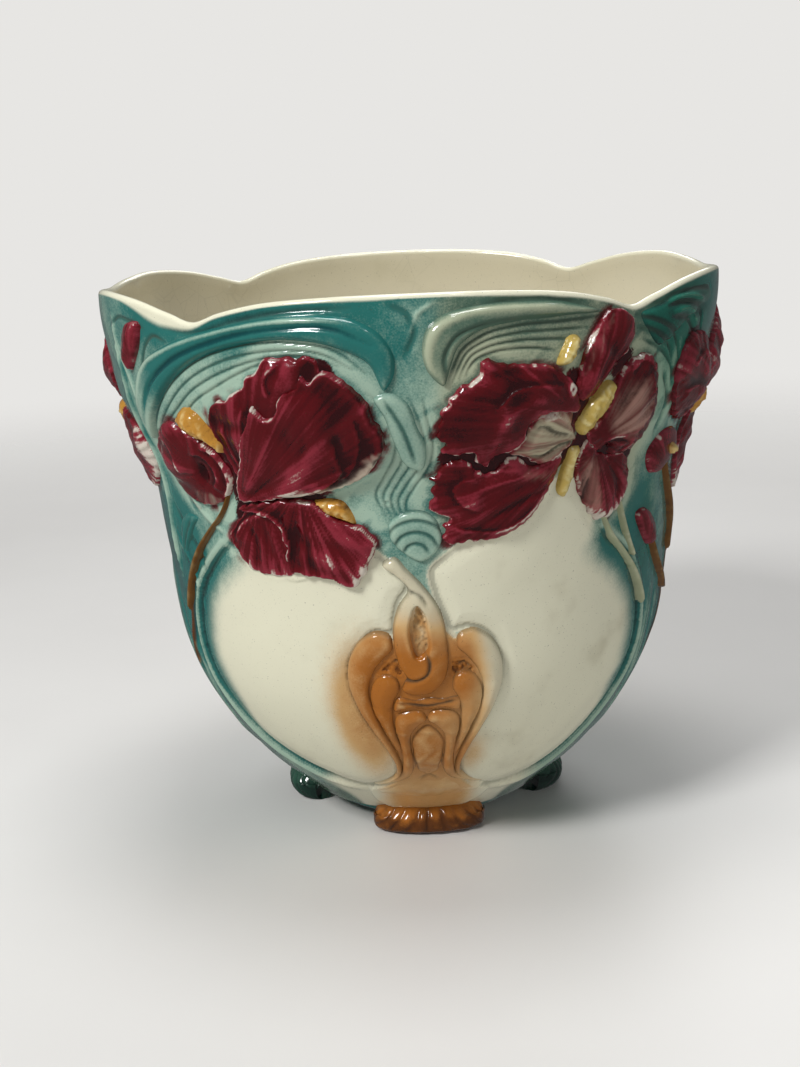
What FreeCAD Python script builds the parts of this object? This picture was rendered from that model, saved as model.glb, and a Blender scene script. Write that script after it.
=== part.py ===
import FreeCAD, Part
import math
import os

from FreeCAD import Vector

# A glazed earthenware cachepot. Millimetres, +Z up, origin on the table under the middle of the pot.
# The front, with the cartouche, faces -Y. An azimuth is 0 at the front and grows towards +X.

# The rim, which the belly and everything above it follow
RIM_HEIGHT = 262.0
RIM_RADIUS = 143.0

# Heights above the table, depths below the rim, and radii of the outside of the wall there
FLOOR_LEVEL = 10.0
FLOOR_RADIUS = 60.0
BOWL_HEIGHT = 35.0
BOWL_RADIUS = FLOOR_RADIUS + 25.5
BELLY_HEIGHT = 80.0
BELLY_RADIUS = RIM_RADIUS - 30.5
WAIST_DROP = 122.0
WAIST_RADIUS = RIM_RADIUS - 20.5
NECK_DROP = 78.0
NECK_RADIUS = RIM_RADIUS - 14.7
FLARE_DROP = 48.0
FLARE_RADIUS = RIM_RADIUS - 3.4
LIP_DROP = 20.0
LIP_TURN = 1.0

# Clay thicknesses
WALL = 6.5
FLOOR = 8.0
INNER_FLOOR_RADIUS = FLOOR_RADIUS - 6.0

# The rim's wave over a quarter turn: azimuth, depth below the highest point
RIM_WAVE = [(0, 0.0), (14, 0.6), (26, 3.0), (34, 7.0), (40, 11.0), (46, 7.5), (54, 3.0), (65, 0.6), (77, 2.0)]
RIM_WAVE_SIDE = 3.5
RIM_TRIM = 4.0
RIM_LIP = 3.0

# Foot ring and feet
RING_OUTER_RADIUS = FLOOR_RADIUS - 8.0
RING_INNER_RADIUS = RING_OUTER_RADIUS - 10.0
RING_LIFT = 3.0
FOOT_RADIUS = FLOOR_RADIUS + 5.0
FOOT_BULGE = 5.0
FOOT_HEIGHT = 20.0
FACE_FOOT_ANGLE = 48.0
SIDE_FOOT_ANGLE = 40.0
FLUTES = 7
FLUTE_RADIUS = 3.0
FLUTE_DEPTH = 1.5

# How far relief stands out from the wall
BEARD_RELIEF = 7.0
PETAL_RELIEF = 5.5
BACK_PETAL_RELIEF = 3.5
STEM_RELIEF = 3.5
LEAF_RELIEF = 2.5
BAND_RELIEF = 3.5
STRAP_RELIEF = 4.5
LOW_STRAP_RELIEF = 3.0

# Widths of stems and ribs
STEM_TOP_WIDTH = 3.0
STEM_WIDTH = 6.0
PALE_STEM_WIDTH = 4.5
RIB_WIDTH = 4.5

FULL_TURN = 360.0
HALF_TURN = 180.0
UP = Vector(0, 0, 1)
ORIGIN = Vector(0, 0, 0)
WALL_SAMPLES = 400
BAR_REACH = RIM_RADIUS + 60.0
BAR_BACK = 15.0


def polar(radius, azimuth, height):
    angle = math.radians(azimuth)
    return Vector(radius * math.sin(angle), -radius * math.cos(angle), height)


def smooth_curve(points, closed=False):
    curve = Part.BSplineCurve()
    curve.interpolate(Points=points, PeriodicFlag=closed)
    return curve


# The outside of the wall in the X-Z plane, from the floor to a little above the rim
def wall_curve():
    places = [
        (FLOOR_RADIUS, FLOOR_LEVEL),
        (BOWL_RADIUS, BOWL_HEIGHT),
        (BELLY_RADIUS, BELLY_HEIGHT),
        (WAIST_RADIUS, RIM_HEIGHT - WAIST_DROP),
        (NECK_RADIUS, RIM_HEIGHT - NECK_DROP),
        (FLARE_RADIUS, RIM_HEIGHT - FLARE_DROP),
        (RIM_RADIUS, RIM_HEIGHT - LIP_DROP),
        (RIM_RADIUS - LIP_TURN, RIM_HEIGHT + RIM_TRIM),
    ]
    return smooth_curve([Vector(radius, 0, height) for radius, height in places])


WALL_CURVE = wall_curve()


# A curve beside the wall, further out by a distance, or inside it where that is negative
def curve_beside_wall(distance, first=0):
    points = []
    for knot in WALL_CURVE.getKnots()[first:]:
        tangent = WALL_CURVE.tangent(knot)[0]
        outward = Vector(tangent.z, 0, -tangent.x)
        points.append(WALL_CURVE.value(knot) + outward * distance)
    return points


def wall_samples():
    start, end = WALL_CURVE.FirstParameter, WALL_CURVE.LastParameter
    step = (end - start) / WALL_SAMPLES
    return [WALL_CURVE.value(start + step * number) for number in range(WALL_SAMPLES + 1)]


WALL_POINTS = wall_samples()


def wall_radius(height):
    for lower, upper in zip(WALL_POINTS, WALL_POINTS[1:]):
        if height <= upper.z:
            share = (height - lower.z) / (upper.z - lower.z)
            return lower.x + share * (upper.x - lower.x)
    return WALL_POINTS[-1].x


# A solid of revolution from a closed run of edges in the X-Z plane
def turned(edges, angle=FULL_TURN):
    face = Part.Face(Part.Wire(Part.sortEdges(edges)[0]))
    return face.revolve(ORIGIN, UP, angle)


def line(start, end):
    return Part.LineSegment(start, end).toShape()


# Everything inside the wall's outer face, moved out by a distance
def filled_body(distance=0.0):
    curve = smooth_curve(curve_beside_wall(distance)) if distance else WALL_CURVE
    bottom, top = curve.StartPoint, curve.EndPoint
    low, high = Vector(0, 0, bottom.z), Vector(0, 0, top.z)
    return turned([curve.toShape(), line(top, high), line(high, low), line(low, bottom)])


# Everything above a wavy sheet that runs round the rim
def above_rim(drop=0.0):
    quarter = RIM_WAVE + [(FULL_TURN / 4, RIM_WAVE_SIDE)]
    half = quarter + [(HALF_TURN - azimuth, depth) for azimuth, depth in reversed(RIM_WAVE)]
    wave = half[:-1] + [(azimuth + HALF_TURN, depth) for azimuth, depth in half[:-1]]
    edges = []
    for radius in (RIM_RADIUS - WALL * 4, RIM_RADIUS + WALL * 4):
        points = [polar(radius, azimuth, RIM_HEIGHT - depth - drop) for azimuth, depth in wave]
        edges.append(smooth_curve(points, closed=True).toShape())
    sheet = Part.makeRuledSurface(edges[0], edges[1])
    return sheet.extrude(UP * (RIM_HEIGHT / 4))


FILLED_BODY = filled_body()
ABOVE_RIM = above_rim()
ABOVE_RELIEF = above_rim(RIM_LIP)


def pot_body():
    floor_top = FLOOR_LEVEL + FLOOR
    inner_floor_edge = Vector(INNER_FLOOR_RADIUS, 0, floor_top)
    inner = smooth_curve([inner_floor_edge] + curve_beside_wall(-WALL, first=1))
    outer_top, inner_top = WALL_CURVE.EndPoint, inner.EndPoint
    floor_middle, under_middle = Vector(0, 0, floor_top), Vector(0, 0, FLOOR_LEVEL)
    edges = [
        WALL_CURVE.toShape(),
        line(outer_top, inner_top),
        inner.toShape(),
        line(inner_floor_edge, floor_middle),
        line(floor_middle, under_middle),
        line(under_middle, WALL_CURVE.StartPoint),
    ]
    return turned(edges).cut(ABOVE_RIM)


def foot_ring():
    outer = Part.makeCylinder(RING_OUTER_RADIUS, FLOOR_LEVEL - RING_LIFT, UP * RING_LIFT)
    inner = Part.makeCylinder(RING_INNER_RADIUS, FLOOR_LEVEL - RING_LIFT, UP * RING_LIFT)
    return outer.cut(inner)


# One fluted foot, seated on the foot ring and the underside of the bowl
def foot(azimuth, angle):
    outer_low = Vector(FOOT_RADIUS, 0, 0)
    outer_middle = Vector(FOOT_RADIUS + FOOT_BULGE, 0, FOOT_HEIGHT / 3)
    outer_top = Vector(wall_radius(FOOT_HEIGHT) + FLUTE_DEPTH, 0, FOOT_HEIGHT)
    inner_top = Vector(RING_OUTER_RADIUS, 0, FOOT_HEIGHT)
    inner_low = Vector(RING_OUTER_RADIUS, 0, 0)
    edges = [
        Part.Arc(outer_low, outer_middle, outer_top).toShape(),
        line(outer_top, inner_top),
        line(inner_top, inner_low),
        line(inner_low, outer_low),
    ]
    block = turned(edges, angle)
    block.rotate(ORIGIN, UP, -FULL_TURN / 4 - angle / 2)
    flute_place = FOOT_RADIUS + FOOT_BULGE + FLUTE_RADIUS - FLUTE_DEPTH
    for number in range(FLUTES - 1):
        turn = angle * ((number + 1) / FLUTES - 0.5)
        block = block.cut(Part.makeCylinder(FLUTE_RADIUS, FOOT_HEIGHT, polar(flute_place, turn, 0)))
    block = block.cut(FILLED_BODY)
    block.rotate(ORIGIN, UP, azimuth)
    return block


# Places on the wall as seen straight on at a middle azimuth
def seen_straight_on(points, middle):
    places = []
    for azimuth, height in points:
        across = wall_radius(height) * math.sin(math.radians(azimuth - middle))
        places.append(Vector(across, -BAR_REACH, height))
    return places


def middle_azimuth(points):
    azimuths = [azimuth for azimuth, _ in points]
    return (min(azimuths) + max(azimuths)) / 2


# A bar that points straight out of the pot at a middle azimuth
def bar_of(edges, middle):
    bar = Part.Face(Part.Wire(edges)).extrude(Vector(0, BAR_REACH - BAR_BACK, 0))
    bar.rotate(ORIGIN, UP, middle)
    return bar


# The bar of a strap, petal, leaf or bud, from azimuths and heights on its edge
def outline(points):
    middle = middle_azimuth(points)
    edge = smooth_curve(seen_straight_on(points, middle), closed=True)
    return bar_of([edge.toShape()], middle)


# The bar of a band with pointed ends, from places on its two edges, both written from the same end
def crescent(first_edge, second_edge):
    middle = middle_azimuth(first_edge + second_edge)
    edges = [smooth_curve(seen_straight_on(points, middle)).toShape() for points in (first_edge, second_edge)]
    return bar_of(Part.sortEdges(edges)[0], middle)


# The bar of a stem or rib, from azimuths and heights on its middle line, and its width at both ends
def ribbon(points, start_width, end_width):
    middle = middle_azimuth(points)
    places = seen_straight_on(points, middle)
    centre = smooth_curve(places)
    left, right = [], []
    for number, place in enumerate(places):
        share = number / (len(places) - 1)
        tangent = centre.tangent(centre.parameter(place))[0]
        half_width = (start_width + share * (end_width - start_width)) / 2
        sideways = Vector(tangent.z, 0, -tangent.x) * half_width
        left.append(place + sideways)
        right.append(place - sideways)
    edges = [
        smooth_curve(left).toShape(),
        line(left[-1], right[-1]),
        smooth_curve(list(reversed(right))).toShape(),
        line(right[0], left[0]),
    ]
    return bar_of(edges, middle)


# The flowers and scrolls hang from the rim, so their places are azimuths and depths below it
def hung(points):
    return [(azimuth, RIM_HEIGHT - drop) for azimuth, drop in points]


def mirrored(points):
    return [(-azimuth, height) for azimuth, height in points]


SKINS = {}


# The layer between the wall and a height of relief, which ends below the rim's edge
def skin(relief):
    if relief not in SKINS:
        SKINS[relief] = filled_body(relief).cut(FILLED_BODY).cut(ABOVE_RELIEF)
    return SKINS[relief]


# Relief that is laid down earlier lies on top, and what comes later ends against it
class Relief:
    def __init__(self):
        self.laid = []
        self.nodes = {}

    def lay(self, node, relief, *bars):
        solids = []
        for bar in bars:
            piece = bar.common(skin(relief))
            box = piece.BoundBox
            for above, above_box in self.laid:
                if above_box.intersect(box):
                    piece = piece.cut(above)
            solids.append(max(piece.Solids, key=lambda solid: solid.Volume))
            self.laid.append((bar, box))
        self.nodes[node] = solids


def left_iris(relief):
    upper_beard = [(-46.2, 52), (-44, 46.5), (-41, 47.5), (-38.5, 54), (-39.8, 58.5), (-44, 58)]
    lower_beard = [(-20, 84.2), (-17, 83.3), (-14.3, 84.5), (-12.6, 90), (-12, 95), (-14.5, 93.5), (-17.8, 90.5)]
    front = [
        (-36, 87), (-33.5, 70), (-30.5, 54), (-28, 43.5), (-25, 46.5), (-22.5, 44), (-20, 36), (-17.5, 29.5),
        (-12, 31.5), (-8.5, 40), (-6, 56), (-7.5, 68), (-13, 78.5), (-19, 81.5), (-27, 83.5),
    ]
    side = [
        (-59, 69), (-55, 61), (-50, 54), (-46, 57), (-41, 62), (-38, 69), (-36.8, 76), (-38, 83), (-41, 89),
        (-49.5, 91.5), (-54, 87), (-57, 80),
    ]
    fall = [
        (-37, 91), (-32, 86.5), (-26, 84.5), (-20, 85), (-15.5, 92), (-11, 96), (-8.3, 103), (-9.5, 109),
        (-11, 117), (-13.5, 122.5), (-17.5, 119), (-22, 118), (-26, 116), (-26.3, 104), (-28, 95), (-32, 92),
    ]
    fold = [
        (-38.5, 98), (-34, 90), (-28, 90), (-24, 98), (-24, 112), (-26.5, 117), (-31, 119.5), (-36, 118),
        (-39, 111), (-40.5, 104),
    ]
    back = [
        (-33, 86), (-36.5, 68), (-37, 46), (-34, 41), (-29, 34), (-26, 25), (-21, 22.5), (-17.5, 25), (-15, 34),
        (-18, 48), (-24, 58), (-29, 70),
    ]
    stem = [(-40, 85), (-43, 95), (-47.5, 104), (-52.5, 115), (-57.5, 128), (-61, 141), (-63.5, 154)]
    relief.lay("left_iris_beards", BEARD_RELIEF, outline(hung(upper_beard)), outline(hung(lower_beard)))
    relief.lay("left_iris_front_petals", PETAL_RELIEF, outline(hung(front)))
    relief.lay("left_iris_side_petals", PETAL_RELIEF, outline(hung(side)))
    relief.lay("left_iris_falls", PETAL_RELIEF, outline(hung(fall)))
    relief.lay("left_iris_fold_petals", BACK_PETAL_RELIEF, outline(hung(fold)))
    relief.lay("left_iris_back_petals", BACK_PETAL_RELIEF, outline(hung(back)))
    relief.lay("left_iris_stems", STEM_RELIEF, ribbon(hung(stem), STEM_TOP_WIDTH, STEM_WIDTH))


def right_iris(relief):
    top_beard = [(23.2, 31.5), (24, 25), (25.8, 19.5), (27.4, 20.5), (27, 26), (25.3, 32)]
    long_beard = [(28, 58), (28.8, 51), (31, 44), (33.5, 39.5), (35.2, 41), (34.8, 48), (32.5, 56), (29.5, 62.5)]
    low_beard = [(28, 66.5), (30.2, 66.5), (30.1, 75), (29.4, 85), (28.2, 90), (26.8, 88), (26.7, 80), (27.3, 73)]
    upper = [
        (26.5, 50), (25.5, 41), (23.5, 33.5), (20, 30), (14, 27.5), (10.5, 27.5), (8.5, 33), (5.5, 38),
        (3.2, 47), (3.2, 56), (5, 63), (8.5, 64.5), (10.8, 69.5), (14, 67.5), (18, 62), (19.2, 54), (22, 50),
    ]
    lower = [
        (26.8, 69), (22, 72), (18, 68.5), (15, 71), (12, 74), (9, 68.5), (5.5, 67.5), (2.2, 74), (1.8, 87),
        (4.6, 93), (5, 101), (12, 104), (18, 100.5), (23, 93), (25.8, 83),
    ]
    bud = [
        (27.2, 36), (28.5, 26), (30.5, 18), (33, 12), (36, 11.5), (38.4, 15), (38.8, 21), (37.5, 27), (35, 33),
        (32.5, 39), (30, 46), (28, 47), (26.9, 43),
    ]
    side = [
        (35.5, 42), (37, 35), (40, 31.5), (42.5, 31), (45, 36), (46.3, 46), (47.6, 57), (46.8, 66), (43.5, 73),
        (39, 74), (34, 70), (31, 63), (33.5, 55),
    ]
    curl = [
        (31, 65), (36, 72), (43, 75), (45, 84), (45, 91), (43, 99), (39, 103), (36.5, 102), (34, 96), (32, 90),
        (30.8, 82), (30.3, 74),
    ]
    heart = [(18.5, 50), (23, 48), (27, 50), (27.8, 60), (27.4, 67), (23, 72), (18, 72), (15.5, 66)]
    stem = [(38.5, 100), (41.5, 110), (46, 120), (51, 131), (55, 143), (58, 156)]
    branch = [(43.5, 97), (45.2, 106), (47.5, 116), (51, 127)]
    beards = [outline(hung(points)) for points in (top_beard, long_beard, low_beard)]
    stems = [ribbon(hung(points), STEM_TOP_WIDTH, PALE_STEM_WIDTH) for points in (stem, branch)]
    relief.lay("right_iris_beards", BEARD_RELIEF, *beards)
    relief.lay("right_iris_upper_petals", PETAL_RELIEF, outline(hung(upper)))
    relief.lay("right_iris_lower_petals", PETAL_RELIEF, outline(hung(lower)))
    relief.lay("right_iris_bud_petals", PETAL_RELIEF, outline(hung(bud)))
    relief.lay("right_iris_side_petals", PETAL_RELIEF, outline(hung(side)))
    relief.lay("right_iris_curl_petals", PETAL_RELIEF, outline(hung(curl)))
    relief.lay("right_iris_heart_petals", BACK_PETAL_RELIEF, outline(hung(heart)))
    relief.lay("right_iris_stems", LEAF_RELIEF, *stems)


# The spray on the side to the right of the front face
def side_spray(relief):
    left_beard = [(70, 55), (73, 53), (76, 57), (75, 64), (72, 69), (70, 64)]
    right_beard = [(92, 58), (95, 54), (98, 56), (98, 64), (96, 71), (93, 66)]
    bud_beard = [(57.5, 76), (60, 74.5), (61.5, 78), (59, 82)]
    top = [
        (70, 44), (73, 33), (79, 25), (86, 21), (92, 24), (97, 32), (98, 44), (94, 54), (87, 59), (79, 60), (73, 55),
    ]
    left = [
        (52.5, 46), (53.5, 36), (56, 28), (60, 27), (65, 31), (70, 40), (72, 52), (68, 62), (60, 66), (55, 59),
    ]
    right = [
        (97, 60), (103, 57), (109, 61), (113, 68), (114, 77), (112, 87), (107, 93), (101, 92), (97, 84), (95, 72),
    ]
    fall = [
        (72, 62), (80, 60), (88, 60), (94, 64), (96, 76), (95, 88), (92, 98), (87, 106), (82, 108), (76, 103),
        (72, 92), (70, 77),
    ]
    middle_bud = [(51.5, 77), (54, 71.5), (59, 69.5), (64, 73), (65.5, 79), (63, 86), (58, 90), (54, 88.5)]
    low_bud = [(50.5, 105), (53.5, 104), (57, 109), (60, 118), (60.5, 123), (58, 124), (54, 118)]
    high_bud = [(124.5, 12), (127.5, 12.5), (127, 20), (124.5, 28), (121, 34), (119.5, 30), (121.5, 20)]
    middle_stem = [(61, 86), (65.5, 98), (70.5, 110), (76, 125), (80, 142)]
    low_stem = [(58.5, 121), (63, 132), (69, 143), (77, 157)]
    beards = [outline(hung(points)) for points in (left_beard, right_beard, bud_beard)]
    buds = [outline(hung(points)) for points in (middle_bud, low_bud, high_bud)]
    stems = [ribbon(hung(points), STEM_TOP_WIDTH, STEM_WIDTH) for points in (middle_stem, low_stem)]
    relief.lay("side_spray_beards", BEARD_RELIEF, *beards)
    relief.lay("side_spray_top_petals", PETAL_RELIEF, outline(hung(top)))
    relief.lay("side_spray_left_petals", PETAL_RELIEF, outline(hung(left)))
    relief.lay("side_spray_right_petals", PETAL_RELIEF, outline(hung(right)))
    relief.lay("side_spray_falls", PETAL_RELIEF, outline(hung(fall)))
    relief.lay("side_spray_buds", PETAL_RELIEF, *buds)
    relief.lay("side_spray_stems", STEM_RELIEF, *stems)


def leaves(relief):
    fan = [
        (0, 112), (-3.5, 108), (-6, 101), (-6, 95), (-4, 90.5), (-1, 88.5), (1.5, 90), (3.5, 95), (4.2, 101), (3, 108),
    ]
    drop = [(-6.8, 40), (-4, 38), (-1.5, 42), (0, 52), (1.5, 62), (0.5, 72), (-2, 70), (-4, 60), (-5.3, 49)]
    reed = [(-50, 99), (-55, 97), (-59, 102), (-61, 114), (-61.5, 130), (-58, 121), (-53, 108)]
    relief.lay("fan_leaves", LEAF_RELIEF, outline(hung(fan)))
    relief.lay("drop_leaves", LEAF_RELIEF, outline(hung(drop)))
    relief.lay("reed_leaves", LEAF_RELIEF, outline(hung(reed)))


def scroll_bands(relief):
    left_outer = [
        (-59, 66), (-60, 52), (-57, 38), (-52, 27), (-45, 19.5), (-35, 13), (-25, 8.5), (-15, 6.5), (-9, 9), (-5, 15),
        (-3, 24), (-3.2, 32), (-5, 38),
    ]
    left_inner = [
        (-59, 66), (-55, 56), (-50, 45), (-44, 34), (-37, 25), (-28, 19), (-20, 17.5), (-12, 21), (-7.5, 27), (-5, 38),
    ]
    right_outer = [(4.5, 37), (1.8, 31), (0.9, 22), (1.8, 13), (4.5, 8), (9, 5.5), (16, 5), (25, 6.5), (33, 12)]
    right_inner = [(4.5, 37), (5.8, 29), (7, 22), (10, 16.5), (16, 13.5), (24, 13), (33, 12)]
    swirl = [
        (41, 15), (45, 12), (52, 8), (58, 6.5), (63, 8), (64, 13), (59, 17), (53, 22), (48, 29), (46, 30), (43, 24),
    ]
    rib = [(-64, 11), (-64.3, 60), (-64.3, 110), (-66.5, 150)]
    relief.lay("left_scroll_bands", BAND_RELIEF, crescent(hung(left_outer), hung(left_inner)))
    relief.lay("right_scroll_bands", BAND_RELIEF, crescent(hung(right_outer), hung(right_inner)))
    relief.lay("corner_swirls", BAND_RELIEF, outline(hung(swirl)))
    relief.lay("corner_ribs", LEAF_RELIEF, ribbon(hung(rib), RIB_WIDTH, RIB_WIDTH))


# The cartouche stands on the foot, so its places are azimuths and heights above the table
def cartouche(relief):
    loop = [
        (-6, 112), (-5.8, 122), (-4.5, 131), (-2.6, 138), (-5, 145), (-7.3, 149.5), (-5.5, 152), (-3.2, 147),
        (0, 139), (3, 128), (4.3, 116), (4.6, 106), (3.8, 97), (1.2, 91), (-2, 90), (-5, 92.5), (-4, 98), (-5.2, 104),
    ]
    eye = [(-1.2, 131), (-2.6, 124), (-2.6, 116), (-1.2, 108), (0.2, 110), (0.6, 119), (0, 127)]
    crossbar = [(-7, 82), (-3, 83.5), (0, 82.3), (3, 83.5), (7, 82), (7, 89), (3.5, 91), (-3.5, 91), (-6.5, 89)]
    shoulder = [
        (-4.2, 48), (-5.3, 55), (-6.4, 64), (-7.2, 73), (-6.6, 79), (-4, 81.3), (-1, 80.8), (-0.2, 77.5), (-2, 74),
        (-3.8, 69), (-4.2, 60),
    ]
    tongue = [(-3.2, 46), (-3.8, 58), (-3.2, 67), (0, 73.5), (3.2, 67), (3.8, 58), (3.2, 46), (0, 43)]
    inner_hook = [
        (-6.5, 48), (-8.2, 62), (-9.8, 72), (-11.6, 83), (-11.6, 92), (-10, 98), (-7.7, 99.5), (-5.9, 97),
        (-5.7, 92.5), (-7, 87), (-7.6, 80), (-7.4, 70), (-6, 57),
    ]
    hook = [
        (-8, 48), (-9.6, 58), (-12.2, 70), (-15, 84), (-16.2, 96), (-15.3, 107), (-12.5, 115.5), (-9.5, 118.5),
        (-7.2, 117), (-6.6, 112), (-8.5, 107.5), (-10.8, 101), (-12.2, 92), (-11.6, 82), (-10, 70), (-8, 58),
    ]
    pedestal = [
        (-8, 49), (-9, 42), (-13, 36), (-19, 32), (-20, 26), (-10, 22), (10, 22), (20, 26), (19, 32), (13, 36),
        (9, 42), (8, 49), (4.5, 47), (0, 43), (-4.5, 47),
    ]
    relief.lay("cartouche_loops", STRAP_RELIEF, outline(loop).cut(outline(eye)))
    relief.lay("cartouche_crossbars", STRAP_RELIEF, outline(crossbar))
    relief.lay("cartouche_shoulders", STRAP_RELIEF, outline(shoulder), outline(mirrored(shoulder)))
    relief.lay("cartouche_tongues", LOW_STRAP_RELIEF, outline(tongue))
    relief.lay("cartouche_inner_hooks", STRAP_RELIEF, outline(inner_hook), outline(mirrored(inner_hook)))
    relief.lay("cartouche_left_hooks", STRAP_RELIEF, outline(hook))
    relief.lay("cartouche_right_hooks", STRAP_RELIEF, outline(mirrored(hook)))
    relief.lay("cartouche_pedestals", LOW_STRAP_RELIEF, outline(pedestal))


# Each relief piece comes twice, half a turn apart
def paired(solids):
    copies = []
    for solid in solids:
        copy = solid.copy()
        copy.rotate(ORIGIN, UP, HALF_TURN)
        copies.append(copy)
    return Part.makeCompound(solids + copies)


def relief_nodes():
    relief = Relief()
    left_iris(relief)
    right_iris(relief)
    side_spray(relief)
    leaves(relief)
    scroll_bands(relief)
    cartouche(relief)
    return {node: paired(solids) for node, solids in relief.nodes.items()}


def all_nodes():
    quarter = FULL_TURN / 4
    nodes = {
        "pot_body": pot_body(),
        "foot_ring": foot_ring(),
        "front_foot": foot(0, FACE_FOOT_ANGLE),
        "back_foot": foot(HALF_TURN, FACE_FOOT_ANGLE),
        "left_foot": foot(-quarter, SIDE_FOOT_ANGLE),
        "right_foot": foot(quarter, SIDE_FOOT_ANGLE),
    }
    nodes.update(relief_nodes())
    return nodes


os.makedirs("parts", exist_ok=True)
for name, shape in all_nodes().items():
    shape.exportStep(os.path.join("parts", name + ".step"))
    print(name, len(shape.Solids), "solids", round(shape.Volume / 1000, 2), "cm3")
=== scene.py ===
import math

import bpy
import numpy as np
from bpy.props import FloatProperty, FloatVectorProperty, IntProperty, PointerProperty
from mathutils import Matrix, Vector


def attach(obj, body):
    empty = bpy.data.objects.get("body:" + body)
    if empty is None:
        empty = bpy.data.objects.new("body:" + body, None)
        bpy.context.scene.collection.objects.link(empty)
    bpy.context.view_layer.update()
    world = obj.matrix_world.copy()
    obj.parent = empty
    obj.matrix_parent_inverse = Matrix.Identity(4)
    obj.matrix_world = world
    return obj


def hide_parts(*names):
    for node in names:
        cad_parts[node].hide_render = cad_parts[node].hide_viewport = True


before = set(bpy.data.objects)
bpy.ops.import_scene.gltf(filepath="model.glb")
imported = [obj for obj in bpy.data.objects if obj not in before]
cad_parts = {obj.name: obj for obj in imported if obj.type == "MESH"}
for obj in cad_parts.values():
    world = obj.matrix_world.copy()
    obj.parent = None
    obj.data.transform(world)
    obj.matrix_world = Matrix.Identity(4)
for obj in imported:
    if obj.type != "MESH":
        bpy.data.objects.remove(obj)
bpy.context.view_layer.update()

bl_info = {
    "name": "Glazed cachepot",
    "version": (1, 0, 0),
    "blender": (4, 5, 0),
    "location": "View3D > Sidebar > Cachepot",
    "description": "Builds a glazed earthenware cachepot with irises and scrolls in relief",
    "category": "Add Mesh",
}

# Places on the wall are azimuths in degrees, 0 at the front and growing to the right, and heights in
# millimetres above the table. They are written for a pot of the drawn size and stretch with the pot.
DRAWN_HEIGHT = 262.0
DRAWN_RADIUS = 143.0
WALL_PROFILE = [
    (60, 10), (85.5, 35), (112.5, 80), (122.5, 140), (128.3, 184), (139.6, 214), (143, 242), (142, 266),
]
RIM_WAVE = [
    (-14, 0.6), (0, 0), (14, 0.6), (26, 3), (34, 7), (40, 11), (46, 7.5), (54, 3), (65, 0.6), (77, 2),
    (90, 3.5), (103, 2),
]
FLOOR_LEVEL = 10.0
UNDERSIDE_RADIUS = 57.0
INNER_FLOOR = 18.0
INNER_FLOOR_RADIUS = 48.0
INNER_WALL_FOOT = 32.0

# How far a relief piece reaches into the wall, and how far its back lies under the wall's face
SINK = 1.6
BACK = 2.4

# The smallest radius of the wall under relief
NARROW_RADIUS = 85.0

# How many random values smooth noise runs through before it repeats
NOISE_KNOTS = 997

# The photo's camera: place in metres, degrees that it looks down and degrees of roll
CAMERA_PLACE = (-0.0085, -0.7156, 0.3121)
CAMERA_DIP = 14.17
CAMERA_ROLL = -2.35


def length(name, millimetres, description):
    metres = millimetres / 1000
    return FloatProperty(name=name, description=description, default=metres, min=0.0, unit="LENGTH")


def colour(name, red, green, blue):
    return FloatVectorProperty(
        name=name,
        description=name + " glaze colour",
        default=(red, green, blue),
        min=0.0,
        max=1.0,
        subtype="COLOR",
    )


class CachepotSizes(bpy.types.PropertyGroup):
    """Sizes of the pot and of its relief"""

    rim_height: length("Height", 262, "Height of the rim above the table")
    rim_radius: length("Rim radius", 143, "Outer radius of the pot at its rim")
    wall: length("Wall", 6.5, "Thickness of the clay")
    lip: length("Lip", 4.2, "Thickness of the rounded rim")
    petal_relief: length("Petal relief", 5.5, "How far the petals stand out from the wall")
    back_petal_relief: length("Back petal relief", 2.8, "How far the petals behind stand out")
    beard_relief: length("Beard relief", 6.5, "How far the yellow beards stand out")
    stem_relief: length("Stem relief", 3.5, "How far the stems stand out")
    leaf_relief: length("Leaf relief", 2.8, "How far the leaves stand out")
    band_relief: length("Band relief", 3.5, "How far the scrolls under the rim stand out")
    strap_relief: length("Strap relief", 4.5, "How far the straps of the cartouche stand out")
    step: length("Relief grid", 0.65, "Size of the squares that the relief is sculpted on")
    columns: IntProperty(name="Columns", description="Squares round half of the body", default=660, min=90)
    rows: IntProperty(name="Rows", description="Squares up the body", default=380, min=60)


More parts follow.
